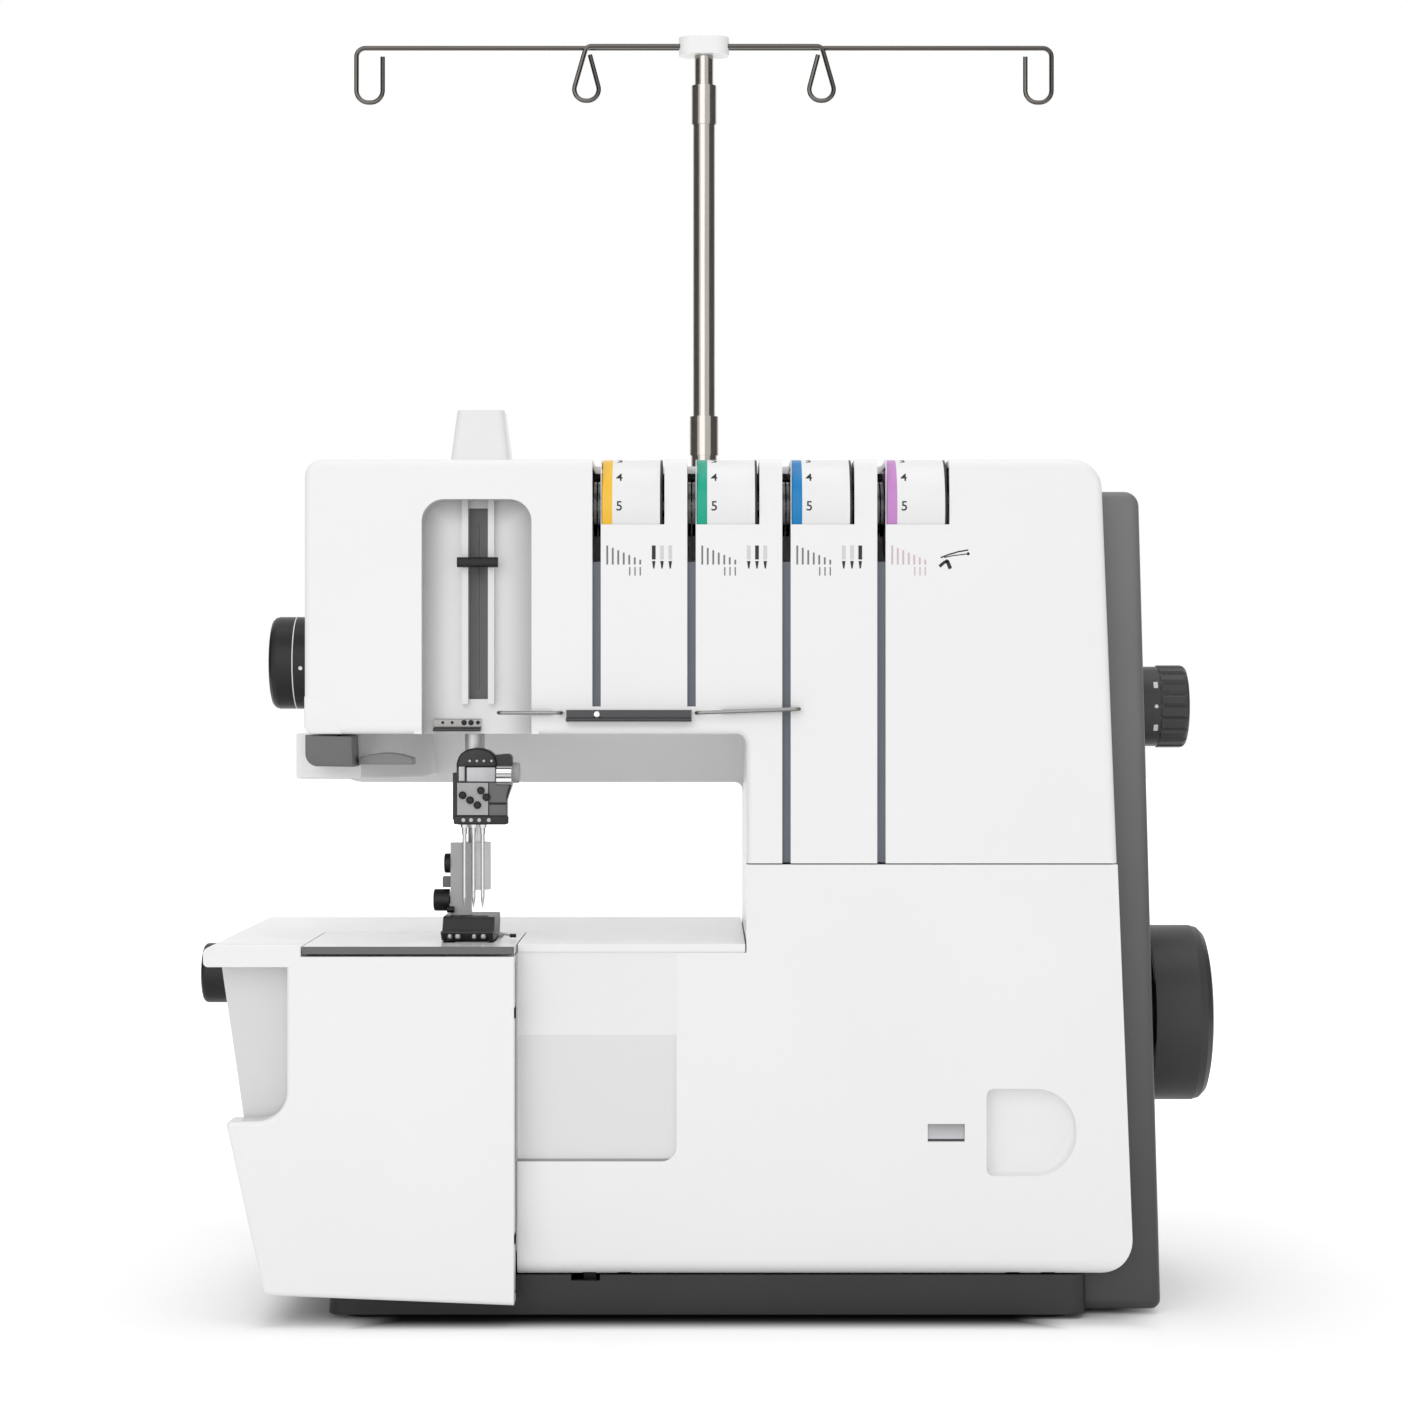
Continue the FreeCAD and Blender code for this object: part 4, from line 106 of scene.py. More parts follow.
class Paint:
    """A node tree under construction; node() adds any shader node, with its settings set first."""

    def __init__(self, tree):
        self.tree = tree

    def node(self, kind, settings=None, sockets=None):
        made = self.tree.nodes.new("ShaderNode" + kind)
        for name, value in (settings or {}).items():
            setattr(made, name, value)
        for name, value in (sockets or {}).items():
            self.put(made.inputs[name], value)
        return made

    def put(self, socket, value):
        if isinstance(value, Tone):
            self.tree.links.new(value.socket, socket)
        else:
            socket.default_value = value

    def tone(self, kind, settings=None, sockets=None, output=0):
        return Tone(self, self.node(kind, settings, sockets).outputs[output])


def seen_directly(paint):
    """1 for rays from the camera, in mirrors and through glass; 0 for rays that gather light."""
    path = paint.node("LightPath")
    rays = [Tone(paint, path.outputs[name])
            for name in ("Is Camera Ray", "Is Glossy Ray", "Is Transmission Ray")]
    return rays[0].larger(rays[1]).larger(rays[2])


AMBIENT = 0.70
FLOOR_COLOUR = (0.88, 0.88, 0.88, 1)
FLOOR_GLOW = (0.20, 0.42)       # added to the floor near the machine and far from it, so that it stays white
BASE_SIDE, BASE_FRONT = 0.165, -0.125       # sides and front of the floor without glow, under the base
GLOW_REACH = (0.02, 0.55)       # distances from the base at which the first glow is full, and the second
CONTACT_IN = 0.030              # under the base, less this margin at either side, the floor's colour is painted black as a contact shadow
CONTACT_REACH = 0.024           # and this painted shadow fades out over this distance
world = bpy.data.worlds.new("studio")
world.use_nodes = True
bpy.context.scene.world = world
paint = Paint(world.node_tree)
background = world.node_tree.nodes["Background"]
background.inputs["Color"].default_value = (1, 1, 1, 1)
paint.put(background.inputs["Strength"], AMBIENT + (1 - AMBIENT) * seen_directly(paint))

floor_material = bpy.data.materials.new("studio_floor")
floor_material.use_nodes = True
paint = Paint(floor_material.node_tree)
shader = floor_material.node_tree.nodes["Principled BSDF"]
shader.inputs["Roughness"].default_value = 0.9
spot = paint.node("SeparateXYZ", None, {0: Tone(paint, paint.node("TexCoord").outputs["Object"])})
across, along = [Tone(paint, spot.outputs[axis]) for axis in "XY"]
low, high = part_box("base_tray")
away = (across.join("ABSOLUTE", 0.0) - BASE_SIDE).larger(BASE_FRONT - along).larger(along - high.y)
beside = (low.x + CONTACT_IN - across).larger(across - (high.x - CONTACT_IN))
before = (low.y - along).larger(along - high.y)
# Painted shadow: the floor's colour runs to black under the base and fades out around it.
lit = paint.tone("MapRange", {"interpolation_type": "SMOOTHSTEP"},
                 {"Value": beside.larger(before), "From Max": CONTACT_REACH})
colour = paint.tone("Mix", {"data_type": "RGBA"}, {"Factor": lit, "A": (0, 0, 0, 1), "B": FLOOR_COLOUR}, 2)
paint.put(shader.inputs["Base Color"], colour)
near, far = [paint.tone("MapRange", {"interpolation_type": "SMOOTHSTEP"},
                        {"Value": away, "From Max": reach, "To Max": glow})
             for reach, glow in zip(GLOW_REACH, FLOOR_GLOW)]
paint.put(shader.inputs["Emission Color"], lit * (near + far))
paint.put(shader.inputs["Emission Strength"], seen_directly(paint))
FLOOR_HALF = 9.0
floor_mesh = bpy.data.meshes.new("studio_floor")
floor_mesh.from_pydata([(-FLOOR_HALF, -FLOOR_HALF, 0), (FLOOR_HALF, -FLOOR_HALF, 0),
                        (FLOOR_HALF, FLOOR_HALF, 0), (-FLOOR_HALF, FLOOR_HALF, 0)], [], [(0, 1, 2, 3)])
floor = bpy.data.objects.new("studio_floor", floor_mesh)
floor_mesh.materials.append(floor_material)
bpy.context.scene.collection.objects.link(floor)


def soft_lamp(name, place, target, size, power):
    """Square area lamp at place that faces target."""
    light = bpy.data.lights.new(name, "AREA")
    light.size = size
    light.energy = power
    lamp = bpy.data.objects.new(name, light)
    lamp.location = place
    heading = np.array(target) - np.array(place)
    yaw = math.atan2(heading[1], heading[0])
    pitch = math.atan2(-heading[2], math.hypot(heading[0], heading[1]))
    lamp.rotation_euler = (math.pi / 2 - pitch, 0, yaw - math.pi / 2)
    bpy.context.scene.collection.objects.link(lamp)


soft_lamp("front_lamp", place=(-0.7, -2.6, 1.1), target=(0, 0, 0.2), size=2.2, power=20.5)
soft_lamp("top_lamp", place=(0.3, -0.2, 2.4), target=(0, 0, 0.1), size=1.6, power=10.0)
soft_lamp("back_lamp", place=(-0.05, 0.95, 0.36), target=(-0.05, -0.05, 0.15), size=0.7, power=0.8)

CARD_COLOUR = (0.16, 0.15, 0.14, 1)
CARD_X = 1.1
CARD_Y = (-0.75, 0.9)
CARD_TOP = 1.4
card_material = bpy.data.materials.new("studio_card")
card_material.use_nodes = True
card_shader = card_material.node_tree.nodes["Principled BSDF"]
card_shader.inputs["Base Color"].default_value = CARD_COLOUR
card_shader.inputs["Roughness"].default_value = 1.0
for name, x in (("studio_card_left", -CARD_X), ("studio_card_right", CARD_X)):
    card_mesh = bpy.data.meshes.new(name)
    card_mesh.from_pydata([(x, CARD_Y[0], 0.0), (x, CARD_Y[1], 0.0), (x, CARD_Y[1], CARD_TOP),
                           (x, CARD_Y[0], CARD_TOP)], [], [(0, 1, 2, 3)])
    card_mesh.materials.append(card_material)
    card = bpy.data.objects.new(name, card_mesh)
    card.visible_camera = False
    card.visible_diffuse = False
    card.visible_shadow = False
    bpy.context.scene.collection.objects.link(card)


# Covers: white injection-moulded shells, screwed to the chassis or hinged on it.
# They have a fine spark-eroded grain, and shade and gloss change faintly along the flow of the melt.
MM = 0.001
FLOW_CELLS, GLOSS_CELLS, GRAIN_CELLS = 14.0, 60.0, 2400.0    # cells of noise to a metre
EVEN = (1, 1, 1)                # stretch of noise without drawn lines
GLOSS_DRIFT = 0.1               # how far roughness wanders
SPECULAR = 0.3
GRAIN_STRENGTH = 0.25
GRAIN_DEPTH = 0.00004           # in metres, as all depths of grain


def new_finish(name):
    """Empty material with its painter and its shader."""
    material = bpy.data.materials.new(name)
    material.use_nodes = True
    return material, Paint(material.node_tree), material.node_tree.nodes["Principled BSDF"]


def object_noise(paint, scale, detail=2.0, stretch=EVEN):
    """Noise of about 1 / scale metres a cell, measured on the piece itself."""
    place = paint.node("TexCoord").outputs["Object"]
    spot = paint.tone("Mapping", None, {"Vector": Tone(paint, place), "Scale": stretch})
    return paint.tone("TexNoise", None, {"Vector": spot, "Scale": scale, "Detail": detail})


def shaded(paint, mask, low, high):
    """Colour that runs from low to high with mask."""
    return paint.tone("Mix", {"data_type": "RGBA"}, {"Factor": mask, "A": low, "B": high}, 2)


def grain(paint, shader, height, distance):
    """Roughens the shader's surface by height, to a depth of distance."""
    bump = paint.node("Bump", None, {"Height": height, "Strength": GRAIN_STRENGTH, "Distance": distance})
    paint.tree.links.new(bump.outputs["Normal"], shader.inputs["Normal"])


def multiplied(paint, colour, share):
    """Colour multiplied by share, channel by channel."""
    return paint.tone("Mix", {"data_type": "RGBA", "blend_type": "MULTIPLY"},
                      {"Factor": 1.0, "A": colour, "B": share}, 2)


def drift(paint, shader, roughness):
    """Roughness that wanders about its mean, and the weak highlights of a plastic."""
    paint.put(shader.inputs["Roughness"],
              roughness - GLOSS_DRIFT / 2 + GLOSS_DRIFT * object_noise(paint, GLOSS_CELLS))
    shader.inputs["Specular IOR Level"].default_value = SPECULAR


def moulded(name, low, high, roughness, grain_cells=GRAIN_CELLS, depth=GRAIN_DEPTH, painted_light_and_shade=None):
    """Plastic between two shades, with drifting gloss and a fine grain; the last argument, if any, scales its
    colour by place with painted light and shade.
    """
    material, paint, shader = new_finish(name)
    colour = shaded(paint, object_noise(paint, FLOW_CELLS, 3.0), (*low, 1), (*high, 1))
    paint.put(shader.inputs["Base Color"], multiplied(paint, colour, painted_light_and_shade(paint)) if painted_light_and_shade else colour)
    drift(paint, shader, roughness)
    grain(paint, shader, object_noise(paint, grain_cells, 3.0), depth)
    return material


def wear(finish, *names):
    """Gives CAD nodes their finish."""
    for name in names:
        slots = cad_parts[name].data.materials
        slots.clear()
        slots.append(finish)


def place_along(paint, axis):
    """Coordinate of the surface along one axis of the piece, in millimetres."""
    place = paint.node("TexCoord").outputs["Object"]
    parts = paint.node("SeparateXYZ", None, {0: Tone(paint, place)})
    return Tone(paint, parts.outputs[axis]) * (1 / MM)


def within(value, low, high):
    """1 between low and high, 0 outside."""
    return value.above(low) * (1 - value.above(high))


FACE = front_face / MM
HOLLOW_X = (-114.0, -70.0)      # the take-up's hollow in the head
HOLLOW_TOP = 329.0
HOLLOW_EDGE = 12.0              # painted shade lies in its round inner corners this far from its walls
HOLLOW_SHADE = (0.10, 0.27)     # painted shade all over the hollow, and added at its walls
ROOM = 1.0                      # the hollow's painted shade reaches this far past its edges


def hollow_shade(paint):
    """Painted shade in the hollow, darker towards its walls: falls with the distance from the nearest of three
    walls.
    """
    x, y, z = [place_along(paint, axis) for axis in "XYZ"]
    left, right, down = x - HOLLOW_X[0], HOLLOW_X[1] - x, HOLLOW_TOP - z
    nearest = left.join("MINIMUM", right).join("MINIMUM", down)
    lit = paint.tone("MapRange", {"interpolation_type": "SMOOTHSTEP"},
                     {"Value": nearest, "From Max": HOLLOW_EDGE})
    inside = (within(x, HOLLOW_X[0] - ROOM, HOLLOW_X[1] + ROOM) * y.above(FACE + ROOM)
              * (1 - z.above(HOLLOW_TOP + ROOM)))
    return 1 - inside * (HOLLOW_SHADE[0] + HOLLOW_SHADE[1] * (1 - lit))


STEP_X = -12.0                  # right end of the shallow step in the front cover
STEP_Y = (FACE + 0.3, FACE + 3)
STEP_CREASE = 114.6
STEP_FOOT = (63.0, 64.9)
STEP_SHADE = (0.03, 0.09, 0.4)  # painted shade all over the step, added below its crease, and a painted shadow line added along its foot


def step_shade(paint):
    """Painted shade on the floor of the step, more below its crease, with a painted shadow line along its foot.
    """
    x, y, z = [place_along(paint, axis) for axis in "XYZ"]
    inside = (1 - x.above(STEP_X)) * within(y, *STEP_Y) * z.above(STEP_FOOT[0])
    over, below, foot = STEP_SHADE
    return 1 - inside * (over + below * (1 - z.above(STEP_CREASE)) + foot * (1 - z.above(STEP_FOOT[1])))


SCOOP_X = -140.0                # the scoop in the side cover lies left of this
SCOOP_Y = (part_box("side_cover")[0].y / MM + 1.2, FACE + 5)
SCOOP_Z = (80.0, 142.0)
SCOOP_SHADE = 0.17


def scoop_shade(paint):
    """Painted shade on the floor of the scoop at the side cover's left shoulder, and on the bed in it."""
    x, y, z = [place_along(paint, axis) for axis in "XYZ"]
    return 1 - SCOOP_SHADE * (1 - x.above(SCOOP_X)) * within(y, *SCOOP_Y) * within(z, *SCOOP_Z)


WHITE_SHADES = ((0.850, 0.850, 0.852), (0.885, 0.885, 0.885))
# The hood wears a darker copy of the covers' white: painted shade on its faces that lean back from the light.
HOOD_PAINTED_SHADES = ((0.78, 0.78, 0.782), (0.81, 0.81, 0.812))
SATIN = 0.36                    # roughness of the white covers
WHITE = moulded("white_plastic", *WHITE_SHADES, SATIN)
wear(WHITE, "rear_cover")
# The side, upper and front covers carry painted shade in the scoop, the take-up hollow and the step.
wear(moulded("white_side_plastic", *WHITE_SHADES, SATIN, painted_light_and_shade=scoop_shade), "side_cover", "bed_cover")
wear(moulded("white_hood_plastic_painted_shade", *HOOD_PAINTED_SHADES, SATIN), "take_up_hood")
wear(moulded("white_upper_plastic", *WHITE_SHADES, SATIN, painted_light_and_shade=hollow_shade), "upper_front_cover")
wear(moulded("white_front_plastic", *WHITE_SHADES, SATIN, painted_light_and_shade=step_shade), "front_cover")


# Base and right end: a charcoal tray on four rubber feet and a lighter grey cap over the drive side.
# The mains inlet and its black rocker switch are let into the cap.
CHARCOAL = moulded("charcoal_plastic", (0.028, 0.028, 0.029), (0.036, 0.036, 0.037), 0.42)
END_SHADES = ((0.125, 0.125, 0.127), (0.150, 0.150, 0.152))
END_TOP = 330.0
END_RISE = (0.40, 0.88)         # painted shade at the foot of the cap, and the painted light added up to its top


def end_shade(paint):
    """Painted light and shade on the cap: lighter towards its top, in proportion to height."""
    return END_RISE[0] + (END_RISE[1] / END_TOP) * place_along(paint, "Z")


END_GREY = moulded("grey_plastic", *END_SHADES, 0.40, painted_light_and_shade=end_shade)
BLACK = moulded("black_plastic", (0.004, 0.004, 0.005), (0.008, 0.008, 0.009), 0.42)
RUBBER = moulded("rubber", (0.012, 0.012, 0.012), (0.022, 0.022, 0.022), 0.8,
                 grain_cells=1500.0, depth=0.0001)
wear(CHARCOAL, "base_tray", "power_inlet")
wear(END_GREY, "end_cover")
wear(BLACK, "power_switch")
wear(RUBBER, "rubber_feet", "drive_belts")


# Chassis and drive: a cast aluminium frame, ground steel shafts in bronze bushes, and a charcoal motor.
# Fine lines run along the metal, as drawing and grinding leave them; the casting is dull and rough.
LINE_CELLS = 900.0
LINE_GLOSS = 0.08


def metal(name, low, high, roughness, stretch, depth):
    """Bare metal between two shades, with lines drawn out along the axes where stretch is small."""
    material, paint, shader = new_finish(name)
    lines = object_noise(paint, LINE_CELLS, 2.0, stretch)
    shader.inputs["Metallic"].default_value = 1.0
    paint.put(shader.inputs["Base Color"], shaded(paint, lines, (*low, 1), (*high, 1)))
    paint.put(shader.inputs["Roughness"], roughness - LINE_GLOSS / 2 + LINE_GLOSS * lines)
    grain(paint, shader, lines, depth)
    return material


STEEL = metal("ground_steel", (0.48, 0.48, 0.49), (0.60, 0.60, 0.61), 0.30, (0.03, 1, 1), 0.00002)
ALUMINIUM = metal("cast_aluminium", (0.50, 0.50, 0.50), (0.58, 0.58, 0.58), 0.55, EVEN, 0.00008)
BRONZE = metal("bearing_bronze", (0.42, 0.28, 0.12), (0.52, 0.36, 0.17), 0.35, (0.05, 1, 1), 0.00002)
wear(ALUMINIUM, "chassis_frame")
wear(BRONZE, "shaft_bushes")
wear(CHARCOAL, "motor")
wear(STEEL, "main_shaft", "upper_shaft", "motor_shaft", "main_shaft_wheels", "upper_shaft_wheels",
     "needle_rocker", "presser_lifter", "feed_dog", "differential_feed_dog", "looper", "front_cover_pins",
     "rear_cover_screws", "take_up_guide_rod")
wear(WHITE, "side_cover_hinge")


# Indicator window in the hinged front cover: a smoked plate behind a rectangular hole.
# It is clamped in the cover from behind, darker at its top, and has a dark strip along its foot.
def grid_faces(rows, columns):
    """Quads between neighbouring rings of a grid, and a flat cap on the first and the last ring."""
    row, column = np.meshgrid(np.arange(rows - 1), np.arange(columns), indexing="ij")
    after = (column + 1) % columns
    here, there = row * columns, (row + 1) * columns
    quads = np.stack([here + column, here + after, there + after, there + column], -1).reshape(-1, 4)
    ring = np.arange(columns)
    return quads.tolist() + [ring[::-1].tolist(), (ring + (rows - 1) * columns).tolist()]


SHARP = 35                      # edges turned by more degrees than this stay sharp


def add_mesh(name, points, faces, body, finish):
    """Piece from points in millimetres, with faces outward and sharp edges kept."""
    mesh = bpy.data.meshes.new(name)
    mesh.from_pydata((points * MM).tolist(), [], faces)
    shape = bmesh.new()
    shape.from_mesh(mesh)
    bmesh.ops.recalc_face_normals(shape, faces=shape.faces)
    shape.to_mesh(mesh)
    shape.free()
    mesh.shade_smooth()
    mesh.set_sharp_from_angle(angle=math.radians(SHARP))
    mesh.materials.append(finish)
    piece = bpy.data.objects.new(name, mesh)
    bpy.context.scene.collection.objects.link(piece)
    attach(piece, body)
    return piece


def add_piece(name, grids, body, finish):
    """One piece from closed grids of rings, each an array of rows, columns and x, y, z in millimetres."""
    starts = np.cumsum([0] + [grid.shape[0] * grid.shape[1] for grid in grids]).tolist()
    faces = [[start + corner for corner in face]
             for grid, start in zip(grids, starts) for face in grid_faces(*grid.shape[:2])]
    points = np.concatenate([grid.reshape(-1, 3) for grid in grids])
    return add_mesh(name, points, faces, body, finish)


def panel(x0, x1, z0, z1, r):
    """Rectangle with round corners, anticlockwise: a quarter circle about each of four centres."""
    angle = np.linspace(0, np.pi / 2, 6) + np.arange(4)[:, None] * np.pi / 2
    side_x = np.array([1, -1, -1, 1])[:, None]
    side_z = np.array([1, 1, -1, -1])[:, None]
    x = (x0 + x1) / 2 + side_x * ((x1 - x0) / 2 - r) + r * np.cos(angle)
    z = (z0 + z1) / 2 + side_z * ((z1 - z0) / 2 - r) + r * np.sin(angle)
    return np.stack([x, z], -1).reshape(-1, 2)


def drawn_in(outline, inset):
    """Outline moved inwards by inset: each corner slides along the bisector of its two edges."""
    edge = np.roll(outline, -1, 0) - outline
    normal = np.stack([-edge[:, 1], edge[:, 0]], -1) / np.linalg.norm(edge, axis=1, keepdims=True)
    before = np.roll(normal, 1, 0)
    return outline + inset * (normal + before) / (1 + (normal * before).sum(1, keepdims=True))


def slab(outline, front, back, edge=0.0):
    """Outline in x and z carried along y; the front rim is drawn in along a quarter circle of radius edge."""
    turn = np.linspace(0, np.pi / 2, 4) if edge else np.array([np.pi / 2])
    insets = np.append(edge * (1 - np.sin(turn)), 0.0)
    depths = np.append(front + edge * (1 - np.cos(turn)) if edge else [front], back)
    rings = np.stack([drawn_in(outline, inset) for inset in insets])
    depth = np.broadcast_to(depths[:, None], rings.shape[:2])
    return np.stack([rings[..., 0], depth, rings[..., 1]], -1)


WINDOW_X = (88.6, 103.2)
WINDOW_Z = (72.0, 78.9)
WINDOW_FLOOR = -123.0           # floor of the hole, 2 mm behind the face
WINDOW_THICK = 0.7
WINDOW_STRIP = 0.9
STRIP_COLOUR = (0.05, 0.05, 0.055, 1)
SMOKE = ((0.62, 0.62, 0.65, 1), (0.33, 0.33, 0.34, 1))      # at the foot of the window, and at its top
SMOKED, paint, shader = new_finish("smoked_window")
height = place_along(paint, "Z")
share = (height - WINDOW_Z[0]) * (1 / (WINDOW_Z[1] - WINDOW_Z[0]))
clear = height.above(WINDOW_Z[0] + WINDOW_STRIP)
paint.put(shader.inputs["Base Color"], shaded(paint, clear, STRIP_COLOUR, shaded(paint, share, *SMOKE)))
paint.put(shader.inputs["Roughness"], 0.12 + 0.08 * object_noise(paint, 300.0))
window = slab(panel(*WINDOW_X, *WINDOW_Z, 0.3), WINDOW_FLOOR - WINDOW_THICK, WINDOW_FLOOR, edge=0.15)
add_piece("indicator_window", [window], "front_door", SMOKED)


# Tension units: a white drum with a coloured rim turns in each window of the upper cover; its other end carries
# a painted shadow, a black band for the dark gap beside it.
# The drums carry printed digits; dark steel discs squeeze the thread behind a slot with a blue-grey liner.
TENSION = {"yellow": (0.914, 0.539, 0.044), "green": (0.006, 0.386, 0.254),
           "blue": (0.004, 0.212, 0.521), "violet": (0.571, 0.254, 0.597)}
RIM = 4.0                       # width of the coloured rim
SHADOW = 0.9                    # width of the black band painted at the drum's other end as the shadow of the gap beside it
DRUM_WHITE = (0.86, 0.86, 0.86)
PAINTED_GAP_SHADOW = (0.008, 0.008, 0.008)
DIGIT_HEIGHT = 3.9
DIGIT_IN = 2.8                  # from the rim to the middle of the digits
DIGITS = 10
BOLD = 0.012
FRONT_DIGIT = 5                 # the digit that faces the front
DIGIT_SHARE = 0.72              # height of a digit as a share of the font's size
PRINT = 0.06                    # thickness of a printed mark
PRINT_CELLS, PRINT_DEPTH = 5000.0, 0.00001


def printed(name, low, high):
    """Dull print between two shades, with hardly any grain."""
    return moulded(name, low, high, 0.55, PRINT_CELLS, PRINT_DEPTH)


INK = printed("black_print", (0.020, 0.020, 0.020), (0.032, 0.032, 0.032))
wear(moulded("liner_plastic", (0.150, 0.158, 0.190), (0.180, 0.188, 0.225), 0.5), "slot_liners")
wear(metal("disc_steel", (0.045, 0.045, 0.045), (0.085, 0.085, 0.085), 0.22, EVEN, 0.00001), "tension_discs")
BAND_FLOW, BAND_CELLS = 0.08, 30.0
BAND_DEPTH = 0.00003


def banded(name, axis, edges, colours, roughness):
    """Finish in flat bands along one axis: each edge starts the next of the colours."""
    material, paint, shader = new_finish(name)
    along = place_along(paint, axis)
    band = (*colours[0], 1)
    for edge, colour in zip(edges, colours[1:]):
        band = shaded(paint, along.above(edge), band, (*colour, 1))
    flow = 1 - BAND_FLOW + BAND_FLOW * object_noise(paint, BAND_CELLS, 3.0)
    paint.put(shader.inputs["Base Color"], multiplied(paint, band, flow))
    drift(paint, shader, roughness)
    grain(paint, shader, object_noise(paint, GRAIN_CELLS, 3.0), BAND_DEPTH)
    return material


def digit(character, height):
    """Points and faces of one printed digit, flat and centred, cut into strips so that it can be bent."""
    font = bpy.data.curves.new("digit", "FONT")
    font.body = character
    font.size = height / DIGIT_SHARE
    font.extrude = PRINT / 2
    font.offset = BOLD * height
    font.align_x = "CENTER"
    font.align_y = "CENTER"
    mesh = bpy.data.meshes.new_from_object(bpy.data.objects.new("digit", font))
    shape = bmesh.new()
    shape.from_mesh(mesh)
    bmesh.ops.remove_doubles(shape, verts=shape.verts, dist=1e-5)
    for level in np.linspace(-0.4, 0.4, 5) * height:
        everything = shape.verts[:] + shape.edges[:] + shape.faces[:]
        bmesh.ops.bisect_plane(shape, geom=everything, plane_co=(0, level, 0), plane_no=(0, 1, 0))
    shape.to_mesh(mesh)
    shape.free()
    points = np.zeros(len(mesh.vertices) * 3)
    mesh.vertices.foreach_get("co", points)
    return points.reshape(-1, 3), [list(face.vertices) for face in mesh.polygons]


def wrapped(points, x, axis_y, axis_z, radius, angle):
    """Flat print bent round a drum: its height becomes an arc about the drum's axis, from angle up."""
    around = angle + points[:, 1] / radius
    reach = radius + points[:, 2] + PRINT / 2
    return np.stack([x + points[:, 0], axis_y - reach * np.cos(around), axis_z + reach * np.sin(around)], -1)


numerals = [digit(str(i), DIGIT_HEIGHT) for i in range(DIGITS)]
for name, colour in TENSION.items():
    low, high = [np.array(corner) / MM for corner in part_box("tension_dial_" + name)]
    middle = (low + high) / 2
    radius = (high[2] - low[2]) / 2
    edges = (low[0] + RIM, high[0] - SHADOW)
    drum = banded("tension_" + name, "X", edges, (colour, DRUM_WHITE, PAINTED_GAP_SHADOW), 0.32)
    wear(drum, "tension_dial_" + name)
    turns = [math.radians(360 / DIGITS) * (FRONT_DIGIT - i) for i in range(DIGITS)]
    bent = [wrapped(points, low[0] + RIM + DIGIT_IN, middle[1], middle[2], radius, turn)
            for (points, faces), turn in zip(numerals, turns)]
    starts = np.cumsum([0] + [len(points) for points in bent]).tolist()
    faces = [[start + corner for corner in face]
             for (points, own), start in zip(numerals, starts) for face in own]
    add_mesh("tension_digits_" + name, np.concatenate(bent), faces, "tension_" + name, INK)


# Marks under the drums: falling bars for the tension, and three needles of which the unit's own is black.
# The fourth unit serves the looper and has a small looper. All are pad-printed on the upper cover's face.
GREY_INK = printed("grey_print", (0.17, 0.17, 0.17), (0.21, 0.21, 0.21))
PINK_INK = printed("pink_print", (0.60, 0.47, 0.52), (0.66, 0.52, 0.57))
PALE_INK = printed("pale_print", (0.62, 0.62, 0.62), (0.68, 0.68, 0.68))
BARS = 7
BAR_X = 8.6                     # from a drum's left edge to the middle of its falling bars
BAR_TOP, BAR_FOOT = 310.4, 302.8
BAR_PITCH, BAR_FALL, BAR_HALF = 2.2, 0.95, 0.36
TICKS = 3                       # small ticks under the bars
TICK_X, TICK_PITCH, TICK_HALF = 2.4, 2.1, 0.25
TICK_DOWN = (1.0, 4.4)          # top and foot of a tick, below the foot of the bars
NEEDLE_MARK_X, NEEDLE_MARK_PITCH = 20.6, 3.3
SHANK = (0.0, 5.6, 0.75, 0.75)  # top and foot, below the top of the bars, and half widths there
POINT = (6.2, 9.2, 0.7, 0.25)
LOOPER_MARK = (                 # paths from the drum's left edge and the marks' top, each with half its width
    (((21.4, -4.9), (24.6, -3.6), (28.4, -2.5), (32.4, -1.8)), 0.28),
    (((22.8, -4.8), (26.0, -4.1), (29.2, -3.7), (32.6, -3.3)), 0.20),
    (((31.9, -3.4), (32.4, -3.3), (32.9, -3.2)), 0.55),
    (((24.3, -5.9), (22.6, -6.9), (20.9, -8.4)), 0.60),
    (((23.9, -6.1), (24.6, -7.6), (25.2, -9.3)), 0.75))


def mark(x, top, foot, half_top, half_foot):
    """Upright printed stroke at x, with its own half width at its top and at its foot."""
    outline = [(x + half_foot, foot), (x + half_top, top), (x - half_top, top), (x - half_foot, foot)]
    return slab(np.array(outline), FACE - PRINT, FACE)


def stroke(path, half):
    """Printed line of even width: the path moved half a width to either side, square to its course."""
    path = np.asarray(path, float)
    along = np.gradient(path, axis=0)
    across = np.stack([along[:, 1], -along[:, 0]], -1) / np.linalg.norm(along, axis=1, keepdims=True)
    return slab(np.concatenate([path + half * across, (path - half * across)[::-1]]), FACE - PRINT, FACE)


